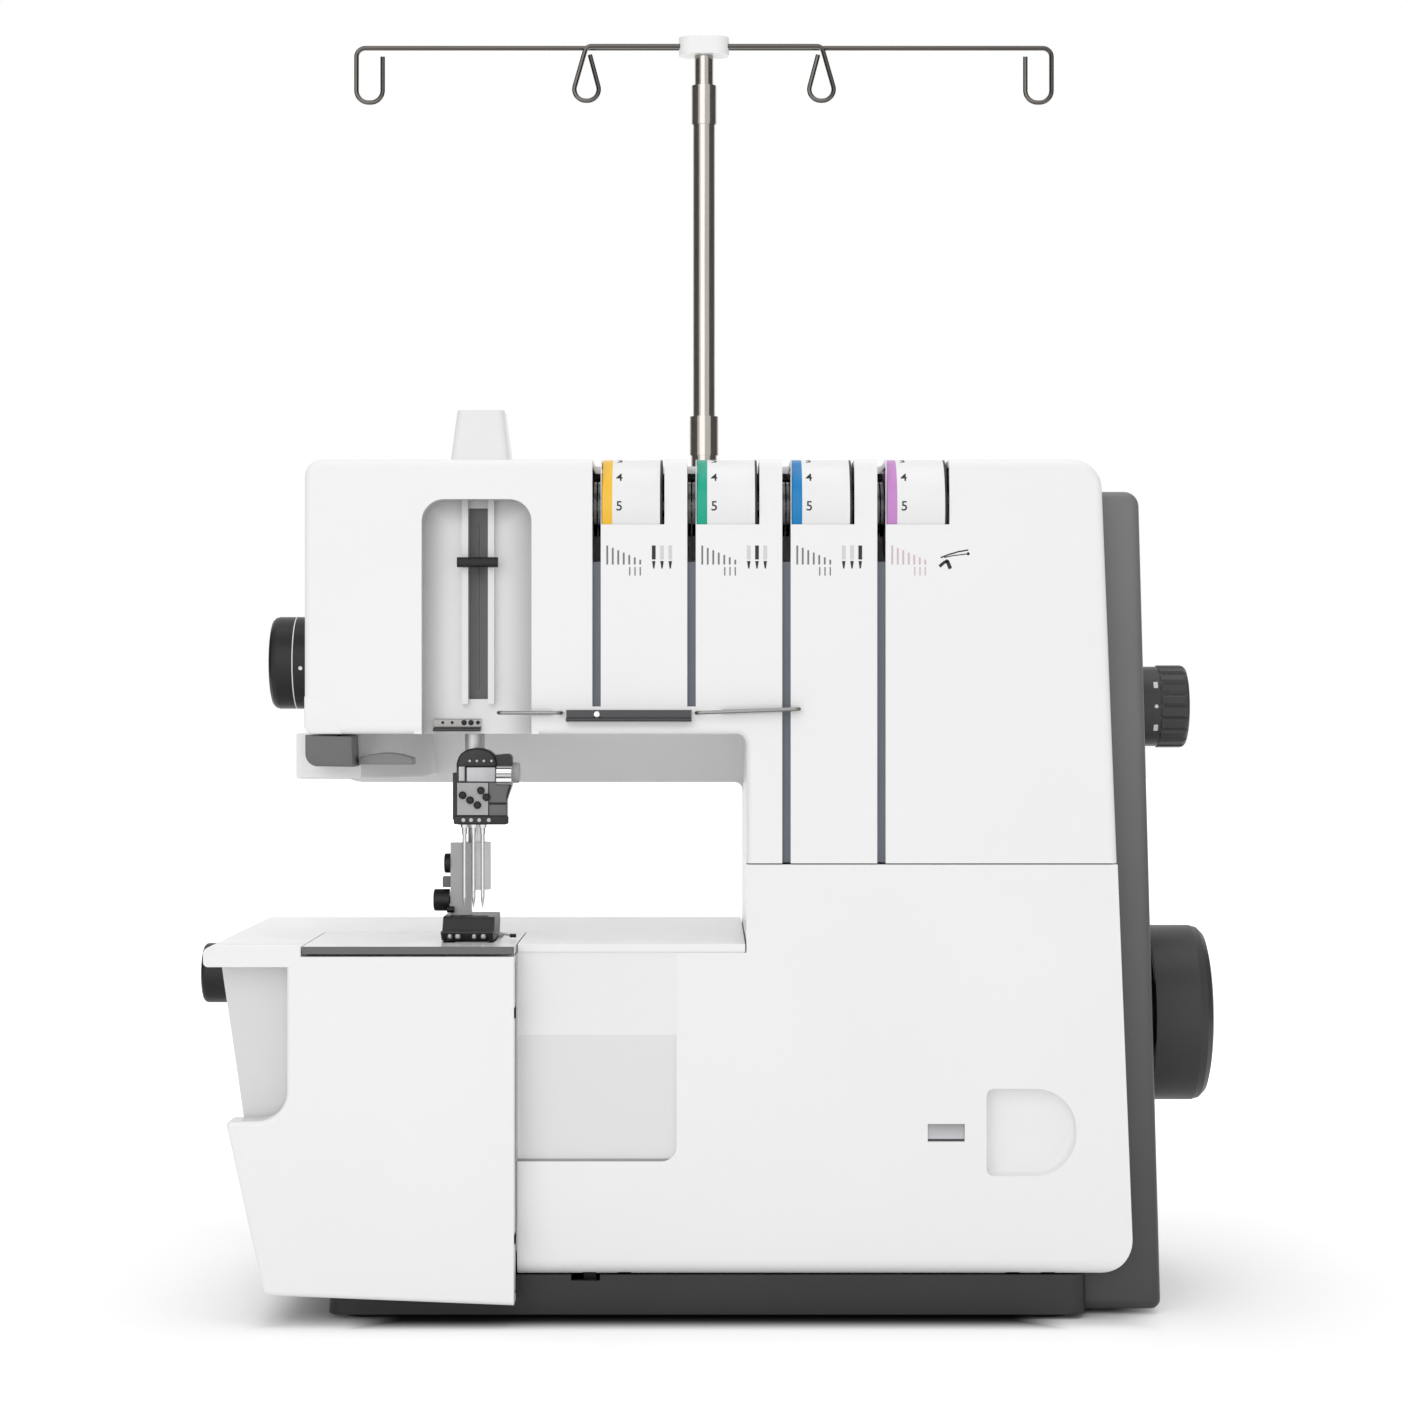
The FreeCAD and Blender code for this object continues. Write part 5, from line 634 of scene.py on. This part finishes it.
bars, pale_bars, needle_marks, own_marks = [], [], [], []
for unit, name in enumerate(TENSION):
    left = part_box("tension_dial_" + name)[0].x / MM
    middle = left + BAR_X
    falling = [mark(middle + BAR_PITCH * (i - BARS // 2), BAR_TOP - BAR_FALL * i, BAR_FOOT,
                    BAR_HALF, BAR_HALF) for i in range(BARS)]
    falling += [mark(middle + TICK_X + TICK_PITCH * i, BAR_FOOT - TICK_DOWN[0], BAR_FOOT - TICK_DOWN[1],
                     TICK_HALF, TICK_HALF) for i in range(TICKS)]
    if unit == len(TENSION) - 1:
        pale_bars += falling
        corner = np.array([left, BAR_TOP])
        own_marks += [stroke(corner + path, half) for path, half in LOOPER_MARK]
        continue
    bars += falling
    for i in range(len(TENSION) - 1):
        x = left + NEEDLE_MARK_X + NEEDLE_MARK_PITCH * i
        strokes = [mark(x, BAR_TOP - top, BAR_TOP - foot, half_top, half_foot)
                   for top, foot, half_top, half_foot in (SHANK, POINT)]
        own_marks += strokes if i == unit else strokes[1:]
        needle_marks += [] if i == unit else strokes[:1]
add_piece("tension_bars", bars, "housing", GREY_INK)
add_piece("looper_tension_bars", pale_bars, "housing", PINK_INK)
add_piece("needle_marks", needle_marks, "housing", PALE_INK)
add_piece("own_marks", own_marks, "housing", INK)


# Head's lower left corner: a white corner and a ledge behind it, bonded to the upper and the rear cover.
# The corner is rounded more tightly than the cover, and the ledge reaches further left.
HEAD_LEFT, HEAD_FOOT = -161.02, 234.98
CORNER_R = 3.5
CORNER_RIGHT, CORNER_TOP = -146.0, 250.0
CORNER_CUT = 9.5                # its hidden inner corner is cut off by this much
CORNER_BACK = -60.3
ledge_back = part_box("rear_cover")[1].y / MM - 3.0
LEDGE = ((-167.5, ledge_back - 5), (-167.5, -98.0), (-165.5, -100.0), (-141.0, -100.0),
         (-116.0, -62.0), (-116.0, ledge_back), (-162.5, ledge_back))       # places in x and y
LEDGE_Z = (216.4, 234.8)


def lower_left(left, foot, radius):
    """Round lower left corner of an outline: a quarter circle from its left side to its foot."""
    turn = np.linspace(np.pi, 1.5 * np.pi, 9)
    return np.stack([left + radius * (1 + np.cos(turn)), foot + radius * (1 + np.sin(turn))], -1)


corner = np.concatenate([[(HEAD_LEFT, CORNER_TOP)], lower_left(HEAD_LEFT, HEAD_FOOT, CORNER_R),
                         [(CORNER_RIGHT, HEAD_FOOT), (CORNER_RIGHT, CORNER_TOP - CORNER_CUT),
                          (CORNER_RIGHT - CORNER_CUT, CORNER_TOP)]])
add_piece("head_corner", [slab(corner, FACE - 0.02, CORNER_BACK, edge=1.2)],
          "housing", WHITE)
ledge = slab(np.array(LEDGE), *LEDGE_Z, edge=1.5)
add_piece("head_ledge", [ledge[..., [0, 2, 1]]], "housing", WHITE)


# Thread guides, thread cutter and lamp under the head: bent wire and a folded bar screwed to the face,
# a small guide with black studs, a grey moulded cutter at the left and a frosted lens over the lamp.
LENS = moulded("frosted_lens", (0.20, 0.20, 0.205), (0.24, 0.24, 0.245), 0.3,
               grain_cells=1800.0, depth=0.00002)
POLISHED = metal("polished_steel", (0.50, 0.50, 0.50), (0.60, 0.60, 0.60), 0.12, EVEN, 0.00001)
NEEDLE_GUIDE_END = -90.0        # the small guide beside the take-up ends here
NEEDLE_GUIDE_SHELF = 237.9      # and its dark shelf reaches up to here
GUIDE_BAR = (-56.5, -5.5)       # the folded bar lies between these places along x
GUIDE_WIRE_COLOUR = (0.22, 0.215, 0.21, 1)
FOLDED_COLOUR = (0.050, 0.050, 0.052, 1)
GUIDES, paint, shader = new_finish("guide_steel")
along = place_along(paint, "X")
shelf = (1 - along.above(NEEDLE_GUIDE_END)) * (1 - place_along(paint, "Z").above(NEEDLE_GUIDE_SHELF))
folded = within(along, *GUIDE_BAR).larger(shelf)
lines = object_noise(paint, LINE_CELLS, 2.0, (0.03, 1, 1))
shader.inputs["Metallic"].default_value = 1.0
paint.put(shader.inputs["Base Color"], shaded(paint, folded, GUIDE_WIRE_COLOUR, FOLDED_COLOUR))
paint.put(shader.inputs["Roughness"], 0.24 + 0.1 * lines)
grain(paint, shader, lines, 0.00002)
wear(GUIDES, "thread_guides")
UNDER_BACK = -99.0              # back of the cutter and of the lens
CUTTER_LEFT, CUTTER_FOOT, CUTTER_TOP = -160.8, 222.0, 234.6
CUTTER_R = 5
CUTTER_RIGHT = ((-141.6, 221.8), (-142.2, 234.0))
cutter = np.concatenate([[(CUTTER_LEFT, CUTTER_TOP)], lower_left(CUTTER_LEFT, CUTTER_FOOT, CUTTER_R),
                         CUTTER_RIGHT])
cutter = add_piece("thread_cutter_moulding", [slab(cutter, FACE + 2.0, UNDER_BACK, edge=0.6)],
                   "housing", END_GREY)
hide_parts("thread_cutter")
LENS_LEFT, LENS_RIGHT = -140.4, -118.7
LENS_FOOT, LENS_FRONT = 222.5, -112.0
ARCH_FOOT, ARCH_RISE, ARCH_WIDTH = 225.2, 2.1, 22.1
share = np.linspace(0, 1, 17)
arch = np.stack([LENS_RIGHT - ARCH_WIDTH * share, ARCH_FOOT + ARCH_RISE * np.sin(np.pi * share)], -1)
arch = np.concatenate([[(LENS_LEFT, LENS_FOOT), (LENS_RIGHT, LENS_FOOT)], arch])
lamp = add_piece("lamp_cover", [slab(arch, LENS_FRONT, UNDER_BACK, edge=0.5)], "housing", LENS)
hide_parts("lamp_lens")
PAN_ROUND = 0.6                 # round rim of a screw's head, as a share of its height


def rounded_rod(near, far, radius, edge):
    """Profile of a rod from near to far: places along it and radii, with a quarter circle at the near rim."""
    turn = np.linspace(0, np.pi / 2, 5)
    places = near + math.copysign(edge, far - near) * (1 - np.cos(turn))
    return np.stack([np.append(places, far), np.append(radius - edge * (1 - np.sin(turn)), radius)], -1)


def turned(profile, centre, axis):
    """Profile of places and radii turned once about the axis through centre."""
    profile = np.asarray(profile, float)
    angle = np.linspace(0, 2 * np.pi, 40, endpoint=False)
    along = np.broadcast_to(profile[:, :1], (len(profile), len(angle)))
    rings = np.stack([along, profile[:, 1:] * np.cos(angle), profile[:, 1:] * np.sin(angle)], -1)
    return rings[..., {"x": [0, 1, 2], "y": [1, 0, 2], "z": [1, 2, 0]}[axis]] + np.asarray(centre, float)


def pan_head(x, z, face, radius, height):
    """Head of a screw that stands on a face and looks front: a rod with a well rounded rim."""
    return turned(rounded_rod(face - height, face, radius, height * PAN_ROUND), (x, 0, z), "y")


GUIDE_SCREW = (-43.8, 242.7)
add_piece("guide_bar_screw", [pan_head(*GUIDE_SCREW, FACE - 1.2, radius=1.5, height=0.9)],
          "housing", POLISHED)
NEEDLE_GUIDE_FACE = FACE + 10.8
STUDS = ((-106.4, 0.6), (-102.6, 0.6), (-97.8, 1.1), (-95.0, 1.1), (-92.2, 0.8))    # place and radius
STUD_Z = 239.5
add_piece("needle_guide_studs", [pan_head(x, STUD_Z, NEEDLE_GUIDE_FACE, radius, height=0.7)
                                 for x, radius in STUDS], "housing", BLACK)


# Take-up: a black lever slides along the slot of a grey guard, a pressed strip in the hollow of the head.
# Two soft lips are bonded into the slot and close it, and the lever's neck passes between them.
GUARD_GREY = moulded("guard_plastic", (0.130, 0.128, 0.130), (0.152, 0.150, 0.152), 0.45)
SLOT_X, SLOT_HALF = -92.0, 1.7
SLOT_Z = (250.5, 322.0)
wear(GUARD_GREY, "take_up_guard")
wear(BLACK, "take_up_lever")
guard_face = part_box("take_up_guard")[0].y / MM
LIP_GAP = 0.03                  # from the slot's middle to either lip
LIP_SIDES = ((SLOT_X - SLOT_HALF, SLOT_X - LIP_GAP), (SLOT_X + LIP_GAP, SLOT_X + SLOT_HALF))
add_piece("take_up_lips", [slab(panel(*side, *SLOT_Z, 0.4), guard_face + 0.15, guard_face + 0.7, edge=0.1)
                           for side in LIP_SIDES], "housing", GUARD_GREY)


# Needle clamp: a blackened block on the foot of the needle bar, with a steel face plate and black set screws.
# A domed cap, dull steel cheeks, a satin block, a polished thread nut and a dark strip are screwed to it.
# Three needles hang below, each in a small collar.
GUNMETAL = metal("blackened_steel", (0.024, 0.024, 0.025), (0.046, 0.046, 0.047), 0.36, (1, 0.05, 1), 0.00002)
GREY_STEEL = metal("dull_steel", (0.30, 0.30, 0.31), (0.38, 0.38, 0.39), 0.42, (1, 1, 0.05), 0.00003)
BAR_STEEL = metal("bar_steel", (0.52, 0.52, 0.525), (0.60, 0.60, 0.605), 0.5, (1, 1, 0.03), 0.00002)
BLOCK_GREY = moulded("satin_grey", (0.125, 0.123, 0.123), (0.150, 0.148, 0.148), 0.4)
PLATE_STEEL = (0.42, 0.42, 0.425)
SCREW_BLACK = (0.006, 0.006, 0.006)
clamp_face, clamp_back = [corner.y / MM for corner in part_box("needle_clamp")]
plate_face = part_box("needle_clamp_plate")[0].y / MM + 1.2     # the set screws stand 1.2 mm proud of the plate
wear(GUNMETAL, "needle_clamp")
wear(STEEL, "needles")
wear(BAR_STEEL, "needle_bar")
wear(banded("clamp_plate_steel", "Y", [plate_face - 0.05], (SCREW_BLACK, PLATE_STEEL), 0.34),
     "needle_clamp_plate")
CAP_X = (-101.2, -85.2)
CAP_FOOT, CAP_RISE, CAP_FULLNESS = 221.5, 7.6, 0.7
CAP_PROUD = 1.7
share = np.linspace(0, np.pi, 25)
dome = np.stack([sum(CAP_X) / 2 + (CAP_X[1] - CAP_X[0]) / 2 * np.cos(share),
                 CAP_FOOT + CAP_RISE * np.sin(share) ** CAP_FULLNESS], -1)
add_piece("needle_clamp_cap", [slab(dome, clamp_face - CAP_PROUD, clamp_back - 1.0, edge=0.7)],
          "needle_unit", GUNMETAL)
DOTS_X = (-96.0, -93.1, -90.3, -87.2)
DOT_Z = 223.9
add_piece("needle_clamp_dots", [pan_head(x, DOT_Z, clamp_face - 1.65, radius=0.55, height=0.2)
                                for x in DOTS_X], "needle_unit", GREY_STEEL)
CHEEKS = (((-100.6, -98.0, 215.6, 222.0, 0.4), 1.3, 0.0),   # panel, how far it stands out, how far it is sunk
          ((-97.4, -85.6, 215.4, 221.4, 0.5), 1.1, 1.4))
add_piece("needle_clamp_cheek", [slab(panel(*sides), clamp_face - out, clamp_face + sunk, edge=0.3)
                                 for sides, out, sunk in CHEEKS], "needle_unit", GREY_STEEL)
SET_SCREWS = ((-98.9, 210.0), (-95.9, 208.0), (-92.9, 206.0), (-91.5, 211.9), (-89.3, 209.2))
add_piece("needle_clamp_screws", [pan_head(*place, plate_face, radius=1.55, height=1.35)
                                  for place in SET_SCREWS], "needle_unit", BLACK)
BLOCKS = (((-88.3, 207.0), (-81.2, 207.0), (-81.3, 209.4), (-80.6, 212.3), (-79.5, 215.2), (-88.3, 215.2)),
          ((-88.3, 201.7), (-81.2, 201.7), (-81.2, 206.2), (-88.3, 206.2)))
add_piece("needle_clamp_block", [slab(np.array(outline), clamp_face - 0.9, clamp_face + 0.4, edge=0.3)
                                 for outline in BLOCKS], "needle_unit", BLOCK_GREY)
STRIP_X, STRIP_Z = (-102.6, -80.4), (198.2, 201.6)
STRIP_PROUD = 1.2
STRIP_SCREWS = (-98.6, -95.5, -92.2, -88.3)
STRIP_SCREW_Z = 199.9
strip_face = clamp_face - STRIP_PROUD
strip = slab(panel(*STRIP_X, *STRIP_Z, 0.8), strip_face, clamp_face + 1.6, edge=0.4)
add_piece("needle_clamp_strip", [strip], "needle_unit", GUNMETAL)
add_piece("needle_strip_screws", [pan_head(x, STRIP_SCREW_Z, strip_face, radius=0.85, height=0.3)
                                  for x in STRIP_SCREWS], "needle_unit", GREY_STEEL)
NEEDLES_X, NEEDLE_Y = (-98.7, -95.0, -91.3), -100.0
NEEDLE_COLLAR = ((196.6, 1.15), (196.6, 1.55), (198.4, 1.7), (198.4, 1.15))     # heights and radii
add_piece("needle_collars", [turned(NEEDLE_COLLAR, (x, NEEDLE_Y, 0), "z") for x in NEEDLES_X],
          "needle_unit", POLISHED)
NUT_X, NUT_Z = (-85.6, -78.6), 218.0
NUT_R, NUT_FLUTES, NUT_FLUTE_DEPTH = 4.0, 9, 0.7
NUT_BEVEL = (0.5, 0.6)          # of either rim, along the nut and in towards its axis


def fluted(near, far, radius, flutes, depth, centre):
    """Barrel along x whose radius falls by depth at each of its flutes and closes in at both rims."""
    angle = np.linspace(0, 2 * np.pi, flutes * 8, endpoint=False)
    along, inward = NUT_BEVEL
    places = np.array([near, near + along, far - along, far])
    full = np.array([radius - inward, radius, radius, radius - inward])[:, None]
    reach = full - depth * (0.5 + 0.5 * np.cos(flutes * angle))
    depths = np.broadcast_to(places[:, None], reach.shape)
    return np.stack([depths, reach * np.cos(angle), reach * np.sin(angle)], -1) + np.asarray(centre, float)


nut = fluted(*NUT_X, NUT_R, NUT_FLUTES, NUT_FLUTE_DEPTH, (0, clamp_face - 0.4, NUT_Z))
add_piece("needle_thread_nut", [nut], "needle_unit", POLISHED)


# Presser: a pale ankle on the presser bar with a black thumb screw and satin grey lugs, and a charcoal foot
# with small dull steel toes. A side wire with a black tip lies beside the foot and rides with it.
foot_low, foot_high = [np.array(corner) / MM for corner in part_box("presser_foot")]
ANKLE_EDGES = (-105.3, -96.5)   # its thumb screw lies left of the first, its sleeve right of the second
ANKLE_STEEL, SLEEVE_WHITE = (0.47, 0.47, 0.475), (0.88, 0.88, 0.88)
ANKLE = banded("ankle_steel", "X", ANKLE_EDGES, (SCREW_BLACK, ANKLE_STEEL, SLEEVE_WHITE), 0.40)
wear(STEEL, "presser_bar")
wear(ANKLE, "presser_ankle")
wear(CHARCOAL, "presser_foot")
ANKLE_Y = -90.25
THUMB_SCREW_X, THUMB_SCREW_Z = (-107.6, -105.2), 181.6
PIN_X, PIN_Z = (-106.4, -103.4), 162.8
thumb_screw = turned(rounded_rod(*THUMB_SCREW_X, radius=4.0, edge=0.6), (0, ANKLE_Y, THUMB_SCREW_Z), "x")
pin = turned(rounded_rod(*PIN_X, radius=1.3, edge=0.3), (0, ANKLE_Y - 4.0, PIN_Z), "x")
add_piece("ankle_screw_head", [thumb_screw, pin], "presser", BLACK)
LUG_UPPER = (-108.3, -105.0, 171.8, 176.2, 0.5)     # left, right, foot, top and radius of the corners
LUG_LOWER = (-107.8, -104.6, 156.4, 160.2, 0.8)
LUG_LOWER_Y = (-96.0, -88.0)
add_piece("ankle_lug", [slab(panel(*LUG_UPPER), ANKLE_Y - 2.2, ANKLE_Y + 2.2, edge=0.4),
                        slab(panel(*LUG_LOWER), *LUG_LOWER_Y, edge=0.5)], "presser", BLOCK_GREY)
TOES = ((-104.4, -102.4), (-101.4, -99.0), (-94.6, -92.6), (-91.0, -88.8))
TOE_Z = (foot_low[2] + 1.0, foot_low[2] + 3.2)
TOE_Y = (foot_low[1] + 0.1, foot_low[1] + 7.0)
add_piece("presser_toes", [slab(panel(*sides, *TOE_Z, 0.7), *TOE_Y, edge=0.6) for sides in TOES],
          "presser", GREY_STEEL)


def tube(path, radius, up):
    """Circle of the given radius carried square to a path; up keeps its seam from turning."""
    path = np.asarray(path, float)
    along = np.gradient(path, axis=0)
    along /= np.linalg.norm(along, axis=1, keepdims=True)
    side = np.cross(along, up)
    side /= np.linalg.norm(side, axis=1, keepdims=True)
    over = np.cross(side, along)
    angle = np.linspace(0, 2 * np.pi, 12, endpoint=False)[:, None]
    return path[:, None] + radius * (np.cos(angle) * side[:, None] + np.sin(angle) * over[:, None])


WIRE_Y, WIRE_R = -104.0, 0.4
WIRE_REACH, WIRE_DROP = 8.0, 1.2
share = np.linspace(0, 1, 9)
wire = np.stack([foot_high[0] - 1.0 + WIRE_REACH * share, np.full(len(share), WIRE_Y),
                 foot_low[2] + 2.6 - WIRE_DROP * share ** 2], -1)
add_piece("foot_wire", [tube(wire, WIRE_R, (0, 1, 0))], "presser", GREY_STEEL)
tip = rounded_rod(foot_high[0] + 8.6, foot_high[0] + 6.0, radius=0.75, edge=0.3)
add_piece("foot_wire_tip", [turned(tip, (0, WIRE_Y, foot_low[2] + 1.5), "x")], "presser", BLACK)


# Bed: a ground steel needle plate let into the white bed over the feed dogs, bright with a dark front edge.
# Three white strips close the side cover's open end beside the fixed arms of its hinge, and swing with it.
# White beads lie in the seams of the front cover, one under the bed and one beside the side cover.
PLATE_EDGE = 0.4                # width of the dark edge
PLATE_SHADES = ((0.14, 0.14, 0.142), (0.70, 0.70, 0.705))
plate_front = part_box("needle_plate")[0].y / MM
wear(banded("plate_steel", "Y", [plate_front + PLATE_EDGE], PLATE_SHADES, 0.3), "needle_plate")
SIDE_END = (-76.6, -76.3)
SIDE_DEPTH = (-139.7, -127.0)
SIDE_STRIPS = ((13.0, 31.7), (36.3, 121.7), (126.3, 146.5))     # foot and top of each
add_piece("side_cover_end", [slab(panel(*SIDE_END, *ends, 0.1), *SIDE_DEPTH) for ends in SIDE_STRIPS],
          "side_door", WHITE)
BED_SEAM_LEFT, BED_SEAM_Z = -75.6, (147.56, 147.96)
bed_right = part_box("bed_cover")[1].x / MM
bead = slab(panel(BED_SEAM_LEFT, bed_right - 0.3, *BED_SEAM_Z, 0.1), FACE + 0.25, FACE + 2.5)
add_piece("bed_seal", [bead], "housing", WHITE)
SIDE_SEAM, SIDE_SEAM_Z = (-76.2, -75.85), (28.0, 147.4)
bead = slab(panel(*SIDE_SEAM, *SIDE_SEAM_Z, 0.05), FACE + 0.4, FACE + 4.0)
add_piece("side_seal", [bead], "housing", WHITE)


# Outer dials: the handwheel and three adjusting knobs, charcoal and black mouldings pressed on their shafts.
# The stitch length knob has a printed bar, dot and bar; the pressure knob a printed ring and a dot.
WHITE_INK = printed("white_print", (0.78, 0.78, 0.78), (0.84, 0.84, 0.84))
DARK_KNOB = moulded("dark_knob_plastic", (0.006, 0.006, 0.007), (0.010, 0.010, 0.011), 0.40)
wear(moulded("wheel_plastic", (0.034, 0.034, 0.035), (0.045, 0.045, 0.046), 0.40), "handwheel")
wear(moulded("knob_plastic", (0.043, 0.043, 0.044), (0.056, 0.056, 0.057), 0.40), "stitch_length_dial")
wear(DARK_KNOB, "feed_dial", "pressure_dial")
knob_low, knob_high = [np.array(corner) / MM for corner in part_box("stitch_length_dial")]
knob_middle = (knob_low + knob_high) / 2
COLLAR_R = 16.9
MARK_X = knob_high[0] - 14.3
MARK_BARS = (-9.5, 9.5)         # arc from the knob's front to the middle of either bar
MARK_BAR_HALF = (0.9, 1.5)
DOT_HALF, DOT_R = 0.8, 0.79


def curved_mark(outline, middle, radius):
    """Flat outline of x and height, given thickness and bent round the axis along x through middle."""
    flat = slab(outline, -PRINT, 0.0)
    points = np.stack([flat[..., 0], flat[..., 2], -flat[..., 1] - PRINT / 2], -1).reshape(-1, 3)
    return wrapped(points, 0.0, middle[1], middle[2], radius, 0.0).reshape(flat.shape)


half_x, half_z = MARK_BAR_HALF
outlines = [panel(MARK_X - half_x, MARK_X + half_x, z - half_z, z + half_z, 0.3) for z in MARK_BARS]
outlines.append(panel(MARK_X - DOT_HALF, MARK_X + DOT_HALF, -DOT_HALF, DOT_HALF, DOT_R))
add_piece("length_marks", [curved_mark(outline, knob_middle, COLLAR_R) for outline in outlines],
          "length_knob", WHITE_INK)
pressure_low, pressure_high = [np.array(corner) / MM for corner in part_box("pressure_dial")]
pressure_middle = (pressure_low + pressure_high) / 2
pressure_r = (pressure_high[2] - pressure_low[2]) / 2
RING_X, RING_HALF, RING_SUNK = -169.0, 0.2, 0.3
PRESSURE_DOT = (-166.4, -164.8, -3.2, -1.6, DOT_R)
line = [(RING_X - RING_HALF, pressure_r - RING_SUNK), (RING_X - RING_HALF, pressure_r + PRINT),
        (RING_X + RING_HALF, pressure_r + PRINT), (RING_X + RING_HALF, pressure_r - RING_SUNK)]
ring = turned(line, (0, *pressure_middle[1:]), "x")
dot = curved_mark(panel(*PRESSURE_DOT), pressure_middle, pressure_r)
add_piece("pressure_marks", [ring, dot], "pressure_knob", WHITE_INK)


# Thread stand: a telescopic mast of polished tube with bent wire guides over a white tray of spool pins.
# The tubes slide in swaged collars, and the wires are held by a moulded cap on the top rod.
TUBE_STEEL = metal("tube_steel", (0.40, 0.38, 0.355), (0.48, 0.46, 0.43), 0.16, (1, 1, 0.02), 0.00001)
WIRE_STEEL = metal("wire_steel", (0.085, 0.078, 0.072), (0.115, 0.106, 0.100), 0.24, (0.02, 1, 1), 0.00001)
wear(TUBE_STEEL, "mast_outer_tube", "mast_middle_tube", "mast_top_rod")
wear(WIRE_STEEL, "thread_guide_wires")
wear(WHITE, "guide_cap", "spool_tray", "cone_holders", "spool_pins")
